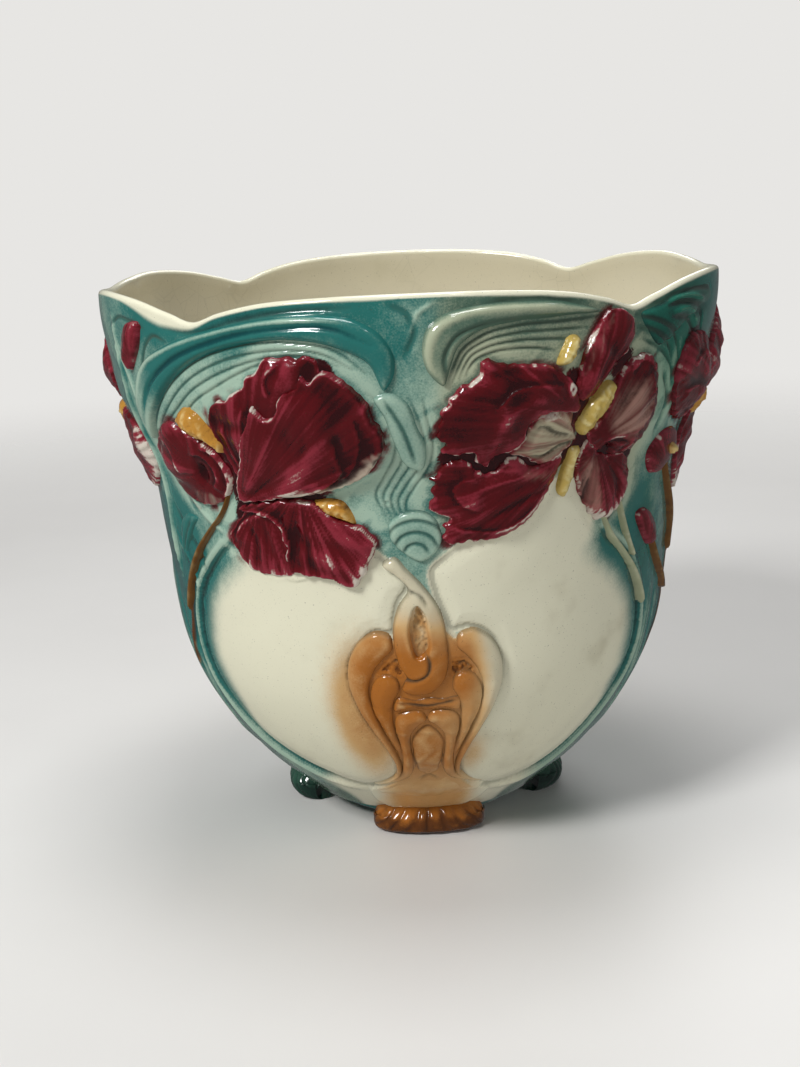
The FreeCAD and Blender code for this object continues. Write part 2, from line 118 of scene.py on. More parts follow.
class CachepotGlazes(bpy.types.PropertyGroup):
    """Glaze colours: pooled in hollows, at its usual depth, and thin on ridges"""

    cream: colour("Cream", 0.80, 0.78, 0.60)
    cream_pooled: colour("Cream, pooled", 0.52, 0.48, 0.33)
    ivory: colour("Ivory", 0.66, 0.61, 0.44)
    inside: colour("Inside", 0.62, 0.57, 0.42)
    line: colour("Line", 0.075, 0.085, 0.055)
    teal_pooled: colour("Teal, pooled", 0.003, 0.062, 0.066)
    teal: colour("Teal", 0.020, 0.155, 0.138)
    teal_thin: colour("Teal, thin", 0.38, 0.53, 0.42)
    sage_pooled: colour("Sage, pooled", 0.010, 0.050, 0.042)
    sage: colour("Sage", 0.075, 0.145, 0.105)
    sage_thin: colour("Sage, thin", 0.42, 0.46, 0.32)
    emerald_pooled: colour("Emerald, pooled", 0.003, 0.040, 0.034)
    emerald: colour("Emerald", 0.012, 0.130, 0.090)
    emerald_thin: colour("Emerald, thin", 0.25, 0.42, 0.30)
    burgundy_pooled: colour("Burgundy, pooled", 0.028, 0.0011, 0.0022)
    burgundy: colour("Burgundy", 0.095, 0.0024, 0.0048)
    # Bright burgundy: glaze run thinner on folds and crests, with a painted sheen in it
    burgundy_sheen: colour("Burgundy, bright", 0.245, 0.021, 0.036)
    burgundy_thin: colour("Burgundy, thin", 0.64, 0.57, 0.49)
    blush: colour("Blush", 0.40, 0.23, 0.18)
    ochre_pooled: colour("Ochre, pooled", 0.14, 0.050, 0.008)
    ochre: colour("Ochre", 0.52, 0.25, 0.040)
    ochre_thin: colour("Ochre, thin", 0.74, 0.55, 0.22)
    mustard_pooled: colour("Mustard, pooled", 0.12, 0.070, 0.014)
    mustard: colour("Mustard", 0.54, 0.39, 0.10)
    mustard_thin: colour("Mustard, thin", 0.70, 0.60, 0.28)
    brown_pooled: colour("Brown, pooled", 0.020, 0.010, 0.003)
    brown: colour("Brown", 0.150, 0.062, 0.009)
    brown_thin: colour("Brown, thin", 0.34, 0.24, 0.10)
    amber_pooled: colour("Amber, pooled", 0.110, 0.034, 0.006)
    amber: colour("Amber", 0.40, 0.135, 0.018)
    amber_thin: colour("Amber, thin", 0.64, 0.40, 0.17)
    green_pooled: colour("Green, pooled", 0.008, 0.028, 0.020)
    green: colour("Green", 0.035, 0.105, 0.070)
    green_thin: colour("Green, thin", 0.24, 0.34, 0.24)
    pale_green_pooled: colour("Pale green, pooled", 0.10, 0.15, 0.085)
    pale_green: colour("Pale green", 0.40, 0.43, 0.27)
    pale_green_thin: colour("Pale green, thin", 0.64, 0.64, 0.47)


def sizes():
    return bpy.context.scene.cachepot_sizes


def millimetres(name):
    return getattr(sizes(), name) * 1000


def smoothstep(low, high, values):
    share = np.clip((values - low) / (high - low), 0, 1)
    return share * share * (3 - 2 * share)


def bell(values, width):
    """1 in the middle, and towards 0 away from it"""
    return np.exp(-((values / width) ** 2))


def spot(across, wide, up, tall):
    """A bell over a sheet, with a half width and a half height"""
    return np.exp(-((across / wide) ** 2) - ((up / tall) ** 2))


def smooth(points, closed=False, step=1.0):
    """Points about a step apart on a smooth curve through the given points"""
    points = np.asarray(points, float)
    if closed:
        points = np.vstack([points[-2:], points, points[:3]])
    gaps = np.hypot(*np.diff(points, axis=0).T)
    along = np.concatenate([[0], np.cumsum(gaps)])
    slopes = np.gradient(points, along, axis=0)
    start, end = (along[2], along[-3]) if closed else (along[0], along[-1])
    at = np.linspace(start, end, max(int((end - start) / step), 3) + 1)
    span = np.clip(np.searchsorted(along, at, side="right") - 1, 0, len(gaps) - 1)
    size = gaps[span][:, None]
    share = (at[:, None] - along[span][:, None]) / size
    from_start = points[span] * (1 + 2 * share) + slopes[span] * size * share
    from_end = points[span + 1] * (3 - 2 * share) + slopes[span + 1] * size * (share - 1)
    return from_start * (1 - share) ** 2 + from_end * share ** 2


WALL_CURVE = smooth(WALL_PROFILE, step=0.5)
RIM_CURVE = smooth(RIM_WAVE, step=0.5)


def wall_radius(height):
    return np.interp(height, WALL_CURVE[:, 1], WALL_CURVE[:, 0])


def from_face(azimuth):
    """Azimuth from the middle of the nearer face, the front or the back"""
    return (azimuth + 90) % 180 - 90


def rim_height(azimuth):
    return DRAWN_HEIGHT - np.interp(np.abs(from_face(azimuth)), RIM_CURVE[:, 0], RIM_CURVE[:, 1])


def swell(azimuth, height):
    """How far the wall's top leans out at the corners and in at the notches"""
    angle = np.abs(from_face(azimuth))
    lean_out = 4.0 * bell(angle - 66, 16) * smoothstep(222, 260, height)
    lean_in = 1.5 * bell(angle - 40, 7) * smoothstep(236, 256, height)
    return lean_out - lean_in


def turned(azimuth, radius, height):
    """Points in metres, from azimuths and from radii and heights on the drawn pot"""
    angle = np.radians(azimuth)
    wide = radius * sizes().rim_radius / DRAWN_RADIUS
    up = height * sizes().rim_height / DRAWN_HEIGHT * np.ones_like(angle)
    return np.stack([wide * np.sin(angle), -wide * np.cos(angle), up], axis=-1)


def place(azimuth, height, out):
    """Points in metres that stand out from the wall by a distance in millimetres"""
    slope = wall_radius(height + 1) - wall_radius(height - 1)
    tilt = np.hypot(slope, 2.0)
    radius = wall_radius(height) + swell(azimuth, height) + out * 2.0 / tilt
    return turned(azimuth, radius, height - out * slope / tilt)


def wander(values, seed):
    """Smooth noise between -1 and 1 along a line"""
    knots = np.random.default_rng(seed).uniform(-1, 1, NOISE_KNOTS)
    cell = np.floor(values).astype(int)
    share = values - cell
    share = share * share * (3 - 2 * share)
    return knots[cell % NOISE_KNOTS] * (1 - share) + knots[(cell + 1) % NOISE_KNOTS] * share


def mottle(x, z, size, seed):
    """Smooth noise between about -1 and 1 over a sheet"""
    total = 0
    for turn, stretch in ((0.3, 1.0), (1.4, 1.3), (2.5, 0.8), (3.5, 1.7)):
        along = (x * math.cos(turn) + z * math.sin(turn)) * stretch / size
        bent = along + 1.5 * wander((x * math.sin(turn) - z * math.cos(turn)) / size, seed + 11)
        total = total + wander(bent + 500, seed + int(turn * 10))
    return total / 2


def blurred(field, cells):
    rows = np.fft.fftfreq(field.shape[0])[:, None]
    columns = np.fft.rfftfreq(field.shape[1])
    damping = np.exp(-2 * (np.pi * cells) ** 2 * (rows ** 2 + columns ** 2))
    return np.fft.irfft2(np.fft.rfft2(field) * damping, s=field.shape)


def nearest(line, x, z):
    """Distance from each place to a run of points, share of the length there, and side, 1 on the left"""
    best = np.full(x.shape, 1e9)
    share = np.zeros(x.shape)
    side = np.zeros(x.shape)
    runs = np.diff(line, axis=0)
    lengths = np.hypot(*runs.T)
    done = np.concatenate([[0], np.cumsum(lengths)])
    for start, run, size, before in zip(line, runs, lengths, done):
        along = np.clip(((x - start[0]) * run[0] + (z - start[1]) * run[1]) / size ** 2, 0, 1)
        gap = np.hypot(x - start[0] - along * run[0], z - start[1] - along * run[1])
        closer = gap < best
        best = np.where(closer, gap, best)
        share = np.where(closer, (before + along * size) / done[-1], share)
        side = np.where(closer, np.sign(run[0] * (z - start[1]) - run[1] * (x - start[0])), side)
    return best, share, side


def inside(line, x, z):
    within = np.zeros(x.shape, bool)
    for start, end in zip(line, line[1:]):
        if start[1] != end[1]:
            crossing = start[0] + (z - start[1]) * (end[0] - start[0]) / (end[1] - start[1])
            within ^= ((start[1] > z) != (end[1] > z)) & (x < crossing)
    return within


class Sheet:
    """A grid on the wall, unrolled in millimetres, with a height to sculpt and a glaze tone to paint"""

    def __init__(self, azimuth, z, middle):
        self.azimuth = azimuth
        self.z = z
        self.middle = middle
        self.x = self.around(azimuth, z)
        self.height = np.zeros(z.shape)
        self.tone = np.full(z.shape, 0.42)
        self.fade = np.zeros(z.shape)
        self.line = np.zeros(z.shape)

    def around(self, azimuth, z):
        """Distance round the wall from the middle of the sheet"""
        return wall_radius(z) * np.radians(azimuth - self.middle)

    def unrolled(self, points):
        azimuth, z = np.asarray(points, float).T
        return np.stack([self.around(azimuth, z), z], axis=-1)

    def window(self, line, reach):
        """The part of the grid within reach of a run of points"""
        low, high = line.min(0) - reach, line.max(0) + reach
        return (self.x > low[0]) & (self.x < high[0]) & (self.z > low[1]) & (self.z < high[1])

    def near(self, points, reach):
        """The grid near a smooth line, the distance and side there, and a fade at the line's ends"""
        line = smooth(self.unrolled(points))
        close = self.window(line, reach)
        gap, share, side = nearest(line, self.x[close], self.z[close])
        ends = np.minimum(smoothstep(0, 0.14, share), smoothstep(0, 0.14, 1 - share))
        return close, gap, side, ends

    def stroke(self, points, width, rise, tone=None, ink=0.0):
        """A ridge along a line, or a groove where the rise is negative, with some dark glaze in it"""
        close, gap, _, ends = self.near(points, width * 3)
        shape = bell(gap, width) * (0.35 + 0.65 * ends)
        self.height[close] += rise * shape
        self.tone[close] += (np.sign(rise) * 0.28 if tone is None else tone) * shape
        self.line[close] = np.maximum(self.line[close], ink * shape)

    def crease(self, points, rise, reach=7.0, pale=0.5):
        """An overlap along a line: the left side stands over the right, with a pale edge and a painted
        shadow at its foot
        """
        close, gap, side, ends = self.near(points, reach * 2.5)
        across = gap * side
        self.height[close] += rise * ends * smoothstep(-0.5, 0.5, across) * np.exp(-gap / reach)
        edge = bell(across - 0.7, 0.75)
        # A painted shadow, cast by the side that stands over onto the lower side beside it
        foot = np.exp(-np.abs(across + 0.8) / 1.8) * (across < 0)
        broken = np.clip(0.65 + 0.9 * mottle(self.x[close], self.z[close], 4, 27), 0, 1)
        self.tone[close] += ends * (pale * broken * edge - 0.34 * foot)

    def hill(self, azimuth, z, radius, rise, tone=0.0, stretch=1.0):
        """A round bump, or a hollow for a negative rise; a stretch over 1 makes it taller than wide"""
        x = self.around(azimuth, z)
        shape = np.exp(-(((self.x - x) / radius) ** 2) - (((self.z - z) / radius / stretch) ** 2))
        self.height += rise * shape
        # The change of tone goes with the bump: on the petals the bumps are painted paler and the hollows
        # darker as shading, along with glaze pooled in the hollows
        self.tone += tone * shape

    def fade_in(self, points, soft, amount=1.0, throat=None):
        """A fade inside an uneven outline, in streaks where it has a throat"""
        depth = self.depth_in(points)[0] + 1.3 * mottle(self.x, self.z, 3, 21)
        if throat:
            angle, _ = self.rays(*throat)
            amount = amount * (0.68 + 0.32 * wander(angle * 9 + 30, 8) + 0.16 * wander(angle * 31 + 30, 9))
        self.fade = np.maximum(self.fade, amount * smoothstep(-soft, soft, depth))

    def depth_in(self, points, reach=1e3):
        """Distance inside a smooth closed outline, negative outside it, and the share along the outline"""
        line = smooth(self.unrolled(points), closed=True)
        close = self.window(line, reach)
        depth = np.full(self.z.shape, -reach)
        share = np.zeros(self.z.shape)
        gap, share[close], _ = nearest(line, self.x[close], self.z[close])
        depth[close] = np.where(inside(line, self.x[close], self.z[close]), gap, -gap)
        return depth, share


class Patch(Sheet):
    """The sheet of one relief piece, from its closed outline or from its middle line and two widths"""

    def __init__(self, points, widths=None):
        points = np.asarray(points, float)
        step = millimetres("step")
        middle = (points[:, 0].min() + points[:, 0].max()) / 2
        low, high = points.min(0), points.max(0)
        reach = 6.0 if widths is None else 3.0 + max(widths)
        half_turn = math.degrees(reach / NARROW_RADIUS)
        z = np.arange(low[1] - reach, high[1] + reach, step)
        turn = math.degrees(step / wall_radius(z.mean()))
        azimuth = np.arange(low[0] - half_turn, high[0] + half_turn, turn)
        super().__init__(*np.meshgrid(azimuth, z), middle)
        self.soft = 1.3
        self.flank = 0.24
        if widths is None:
            self.depth, self.share = self.depth_in(points)
        else:
            gap, self.share, _ = nearest(smooth(self.unrolled(points)), self.x, self.z)
            self.depth = (widths[0] + self.share * (widths[1] - widths[0])) / 2 - gap

    def ruffle(self, waves, size, seed=1):
        """Waves along the edge, of uneven size"""
        phase = self.share * waves
        self.depth += size * np.sin(phase * 2 * np.pi) * (0.6 + 0.4 * wander(phase / 2, seed))

    def teeth(self, waves, size, low, high):
        """Uneven pointed teeth on the part of the edge between two azimuths"""
        within = smoothstep(low - 1, low + 1, self.azimuth) * smoothstep(high + 1, high - 1, self.azimuth)
        phase = self.share * waves + 0.3 * wander(self.share * waves * 0.8, 31)
        uneven = 0.65 + 0.35 * wander(self.share * waves * 0.5 + 20, 33)
        self.depth += size * uneven * within * (1 - 2 * np.abs(np.sin(phase * np.pi)))

    def outlined(self, amount):
        """Dark glaze along the edge"""
        self.line = np.maximum(self.line, amount * bell(self.depth - 0.1, 0.65))

    def cut(self, points):
        self.depth = np.minimum(self.depth, -self.depth_in(points)[0])

    def dome(self, edge, crown, run):
        self.height += edge + (crown - edge) * (1 - np.exp(-np.maximum(self.depth, 0) / run))

    def rays(self, azimuth, z):
        x = self.around(azimuth, z)
        return np.arctan2(self.x - x, self.z - z), np.hypot(self.x - x, self.z - z)

    def folds(self, azimuth, z, count, rise, seed=3):
        """Soft folds that spread from a throat, over broad waves"""
        angle, distance = self.rays(azimuth, z)
        fold = wander(angle * count + 0.02 * distance + 50, seed)
        wave = mottle(self.x, self.z, 15, seed + 40)
        share = smoothstep(2, 22, distance)
        self.height += (1.3 * rise * fold + 1.3 * wave) * share * smoothstep(0, 4, self.depth)
        # Paler on the crests and darker in the troughs: partly glaze run thin or pooled, partly painted
        # shading of the folds
        self.tone += (0.11 * fold + 0.17 * wave) * share

    def veins(self, azimuth, z, count, strength, seed=5):
        """Streaks of thin and pooled glaze that spread from a throat"""
        angle, distance = self.rays(azimuth, z)
        streak = 0
        for number, size in ((1.0, 0.5), (2.3, 0.35), (0.45, 0.4)):
            bend = 0.05 * distance * wander(angle * 3 + 9, seed)
            streak = streak + size * wander(angle * count * number + bend + 60 * number, seed + 7)
        self.tone += strength * streak * smoothstep(1, 14, distance)
        self.height += 0.5 * strength * streak * smoothstep(1, 14, distance)

    def tips(self, azimuth, z, start, end, amount, seed=6):
        """Glaze that runs out in pale streaks far from a throat"""
        angle, distance = self.rays(azimuth, z)
        uneven = 4 * wander(angle * 16 + 70, seed) + 3 * wander(angle * 47 + 90, seed)
        self.tone += amount * smoothstep(start, end, distance + uneven)

    def lip(self, width, rise, tone=0.5, seed=9):
        """A raised edge from which the glaze has run off here and there"""
        edge = bell(self.depth - 0.5, width)
        uneven = 0.62 + 0.6 * wander(self.share * 16, seed) + 0.4 * wander(self.share * 70, seed)
        self.height += rise * edge
        self.tone += tone * edge * np.clip(uneven, 0.08, 1)

    def grain(self, size, rise, seed=2):
        bumps = mottle(self.x, self.z, size, seed)
        self.height += rise * bumps * smoothstep(0, 2, self.depth)
        self.tone += 0.12 * bumps

    def finished(self):
        """Vertices, quads and painted values of the closed piece"""
        flank = smoothstep(-0.8, self.soft, self.depth)
        surface = -SINK + (self.height + SINK) * flank
        cells = 2.4 / millimetres("step")
        hollow = blurred(surface, cells) - surface
        tone = np.clip(self.tone - 0.16 * hollow * smoothstep(-0.5, 3, self.depth), 0, 1)
        flank_tone = np.clip(self.flank + 0.30 * wander(self.share * 13, 5), 0.05, 1)
        tone = flank_tone + (tone - flank_tone) * smoothstep(-0.7, 0.3, self.depth)
        kept = self.depth > -1.3
        cell = kept[:-1, :-1] | kept[1:, :-1] | kept[:-1, 1:] | kept[1:, 1:]
        used = np.zeros(kept.shape, bool)
        for rows in (slice(0, -1), slice(1, None)):
            for columns in (slice(0, -1), slice(1, None)):
                used[rows, columns] |= cell
        number = np.cumsum(used).reshape(used.shape) - 1
        corners = [number[:-1, :-1], number[:-1, 1:], number[1:, 1:], number[1:, :-1]]
        front = np.stack([corner[cell] for corner in corners], axis=-1)
        count = int(used.sum())
        edges = np.concatenate([front[:, [side, (side + 1) % 4]] for side in range(4)])
        keys = edges.min(1) * count + edges.max(1)
        _, first, times = np.unique(keys, return_index=True, return_counts=True)
        border = edges[first[times == 1]]
        sides = np.stack([border[:, 1], border[:, 0], border[:, 0] + count, border[:, 1] + count], axis=-1)
        quads = np.concatenate([front, front[:, ::-1] + count, sides])
        azimuth, z = self.azimuth[used], self.z[used]
        top = place(azimuth, z, surface[used])
        back = place(azimuth, z, np.full(count, -BACK))
        painted = {"tone": tone, "fade": self.fade, "line": self.line}
        painted = {name: np.tile(values[used], 2) for name, values in painted.items()}
        return np.concatenate([top, back]), quads, painted


class Wire:
    """A socket of a shader tree, which plain arithmetic adds nodes to"""

    def __init__(self, tree, socket=None):
        self.tree = tree
        self.socket = socket

    def node(self, kind, sockets, output=0, **settings):
        made = self.tree.nodes.new(kind)
        for name, value in settings.items():
            setattr(made, name, value)
        for name, value in sockets.items():
            if isinstance(value, Wire):
                self.tree.links.new(value.socket, made.inputs[name])
            else:
                made.inputs[name].default_value = value
        return Wire(self.tree, made.outputs[output] if len(made.outputs) else None)

    def maths(self, operation, *values):
        return self.node("ShaderNodeMath", dict(enumerate(values)), operation=operation)

    def __add__(self, other):
        return self.maths("ADD", self, other)

    def __sub__(self, other):
        return self.maths("SUBTRACT", self, other)

    def __rsub__(self, other):
        return self.maths("SUBTRACT", other, self)

    def __mul__(self, other):
        return self.maths("MULTIPLY", self, other)

    __radd__ = __add__
    __rmul__ = __mul__

    def rise(self, low, high):
        """0 below one value, 1 above another, and smooth between them"""
        limits = {"Value": self, "From Min": low, "From Max": high}
        return self.node("ShaderNodeMapRange", limits, interpolation_type="SMOOTHSTEP")

    def between(self, first, second):
        """A blend of two colours by this share"""
        return self.node("ShaderNodeMix", {0: self, 6: first, 7: second}, output=2, data_type="RGBA")

    def attribute(self, name):
        return self.node("ShaderNodeAttribute", {}, output="Fac", attribute_name=name)

    def noise(self, scale, detail=3.0, roughness=0.55):
        place_on_pot = self.node("ShaderNodeTexCoord", {}, output="Object")
        looks = {"Vector": place_on_pot, "Scale": scale, "Detail": detail, "Roughness": roughness}
        return self.node("ShaderNodeTexNoise", looks) - 0.5


def opaque(values):
    return (values[0], values[1], values[2], 1.0)


def tones(tone, name):
    """A glaze's colours from pooled to thin; a glaze with a bright tone shows it before it runs thin, and
    on the burgundy that bright tone is a painted sheen on folds and crests, over glaze that runs thinner
    there
    """
    colours = bpy.context.scene.cachepot_glazes
    pooled, usual, thin = (opaque(getattr(colours, name + depth)) for depth in ("_pooled", "", "_thin"))
    low = tone.rise(0.02, 0.42).between(pooled, usual)
    bright = getattr(colours, name + "_sheen", None)
    if bright is None:
        return tone.rise(0.50, 1.0).between(low, thin)
    # The bright tone between the usual and the thin glaze paints the sheen of folds and crests
    middle = tone.rise(0.42, 0.76).between(low, opaque(bright))
    return tone.rise(0.78, 1.0).between(middle, thin)


def fired(name, paint):
    """A clear gloss over painted clay, with the small waves and pits of a fired glaze"""
    material = bpy.data.materials.new(name)
    material.use_nodes = True
    tree = material.node_tree
    tree.nodes.clear()
    start = Wire(tree)
    painted = paint(start)
    waves = start.noise(160, 2) * 0.5 + start.noise(620, 2) * 0.14
    pits = start.noise(1500, 1).rise(0.20, 0.27)
    bump = start.node(
        "ShaderNodeBump", {"Strength": 0.16, "Distance": 0.0009, "Height": waves - pits * 0.4}
    )
    looks = {
        "Base Color": (pits * 0.45).between(painted, (0.05, 0.035, 0.02, 1)),
        "Roughness": start.noise(90, 2) * 0.10 + 0.14,
        "Normal": bump,
        "IOR": 1.5,
        "Coat Weight": 0.2,
        "Coat Roughness": 0.04,
    }
    shader = start.node("ShaderNodeBsdfPrincipled", looks)
    start.node("ShaderNodeOutputMaterial", {"Surface": shader})
    return material


def glaze(name, fade_to="cream"):
    """The glaze of a relief piece, which follows its painted tone and fades to another glaze"""
    known = bpy.data.materials.get(name + "_over_" + fade_to)
    if known:
        return known
    colours = bpy.context.scene.cachepot_glazes
    pale = getattr(colours, fade_to)
    shade = [value * 0.3 for value in pale]

    def paint(start):
        tone = start.attribute("tone") + start.noise(120) * 0.26 + start.noise(1100, 2) * 0.22
        faded = start.attribute("fade") + start.noise(110) * 0.25
        faded_to = tone.rise(0.0, 0.40).between(opaque(shade), opaque(pale))
        coat, start_fade = tones(tone, name), 0.12
        if name == "amber":
            coat, start_fade = faded.rise(0.08, 0.6).between(coat, opaque(colours.amber_thin)), 0.42
        painted = faded.rise(start_fade, 0.95).between(coat, faded_to)
        return (start.attribute("line") * 0.85).between(painted, opaque(colours.line))

    return fired(name + "_over_" + fade_to, paint)


def made_piece(name, node, material, vertices, faces, attributes):
    """A smooth mesh object that stands for a node of the frame"""
    mesh = bpy.data.meshes.new(name)
    mesh.from_pydata(vertices.tolist(), [], faces)
    for title, values in attributes.items():
        layer = mesh.attributes.new(title, "FLOAT", "POINT")
        layer.data.foreach_set("value", np.asarray(values, np.float32))
    mesh.materials.append(material)
    mesh.shade_smooth()
    mesh.update()
    piece = bpy.data.objects.new(name, mesh)
    bpy.context.scene.collection.objects.link(piece)
    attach(piece, "root")
    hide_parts(node)
    return piece


def lay(node, slot, *patches, shade=None, fade_to="cream"):
    """The pieces of one node, on the front and again half a turn round"""
    vertices, quads, painted = [], [], []
    count = 0
    for patch in patches:
        points, faces, values = patch.finished()
        for turn in (1, -1):
            vertices.append(points * (turn, turn, 1))
            quads.append(faces + count)
            painted.append(values)
            count += len(points)
    attributes = {name: np.concatenate([values[name] for values in painted]) for name in painted[0]}
    material = glaze(shade or slot.replace("_glaze", ""), fade_to)
    vertices, faces = np.concatenate(vertices), np.concatenate(quads).tolist()
    made_piece("glazed_" + node, node, material, vertices, faces, attributes)


def hung(points):
    """Places written as depths below the rim, as heights"""
    return [(azimuth, DRAWN_HEIGHT - drop) for azimuth, drop in points]


def mirrored(points):
    return [(-azimuth, height) for azimuth, height in points]


LEFT_PANEL = [
    (-40, 155), (-47, 143), (-53, 130), (-57, 115), (-58.5, 100), (-58, 85), (-55, 70), (-50, 55),
    (-40, 42), (-30, 35), (-20, 32), (-13, 35.5), (-9, 41), (-8.2, 50), (-10, 60), (-13, 71), (-15, 82),
    (-16.2, 93), (-16, 103), (-13.5, 112), (-10, 119), (-6.5, 119), (-6, 125), (-5, 133), (-3, 140),
    (-6, 148), (-10, 156), (-25, 160),
]
RIGHT_PANEL = [
    (5, 152), (2, 146), (2.5, 137), (4.5, 125), (5.5, 120), (9, 120.5), (13, 116), (15.5, 106),
    (15.8, 94), (14, 80), (11.5, 68), (9.3, 58), (8.5, 48), (10, 40), (14, 33), (20, 29), (30, 30),
    (40, 38), (48, 52), (53, 68), (56, 85), (56.5, 100), (55, 115), (51, 130), (46, 142), (41, 150),
    (37, 160), (32.5, 175), (28, 180), (22, 172), (12, 162),
]
CARTOUCHE = [
    (-8.2, 50), (-10, 60), (-13, 71), (-15, 82), (-16.2, 93), (-16, 103), (-13.5, 112), (-10, 118),
    (-6.8, 116), (-5.4, 124), (-2.5, 134), (0.5, 132), (4, 122), (6.4, 116), (10, 118), (13.5, 112),
    (16, 103), (15.8, 93), (14.5, 80), (12, 68), (9.5, 58), (8.5, 48), (10, 40), (14, 33), (22, 28),
    (22, 20), (-22, 20), (-20, 31), (-13, 35.5), (-9, 41),
]

# Rough hollows between the straps of the cartouche: outline, depth of tone and share of brown
RECESSES = [
    ([
        (-1.2, 132), (-2.4, 126), (-2.4, 117), (-1.4, 109), (0.3, 107), (0.9, 116), (0.5, 125),
        (-0.4, 130),
    ], 0.24, 0.45),
    ([(-9.6, 100.5), (-7.6, 105.5), (-5.4, 108), (-4.6, 102), (-4.6, 98.5), (-7.8, 99.8)], 0.20, 0.95),
    ([(5.2, 105), (8, 105.4), (10.2, 101), (9.8, 97.8), (7.9, 98), (6, 97.4), (5, 100.5)], 0.22, 0.85),
]

# Leaf blades in low relief on the sides, and where the stems there run down into the foot
BLADES = [
    [(88, 26), (84, 58), (84, 92), (87, 122)],
    [(77, 26), (71, 58), (68, 90), (69, 118)],
    [(71, 36), (65, 62), (62, 90), (63, 114)],
    [(-84, 26), (-81, 60), (-82, 98), (-87, 132)],
    [(-77, 28), (-72, 60), (-71, 95), (-75, 130)],
    [(-71, 38), (-66, 66), (-65, 92), (-68, 116)],
]
STEM_FEET = [
    [(74, 142), (78, 130), (80.3, 116), (81.5, 98), (81.5, 76), (80.5, 50), (81, 24)],
    [(69.5, 118), (74, 110), (77.2, 101), (78, 86), (77, 66), (77, 44), (79, 24)],
    [(-57, 134), (-60.5, 121), (-63, 108), (-65.2, 95), (-66.5, 80)],
]

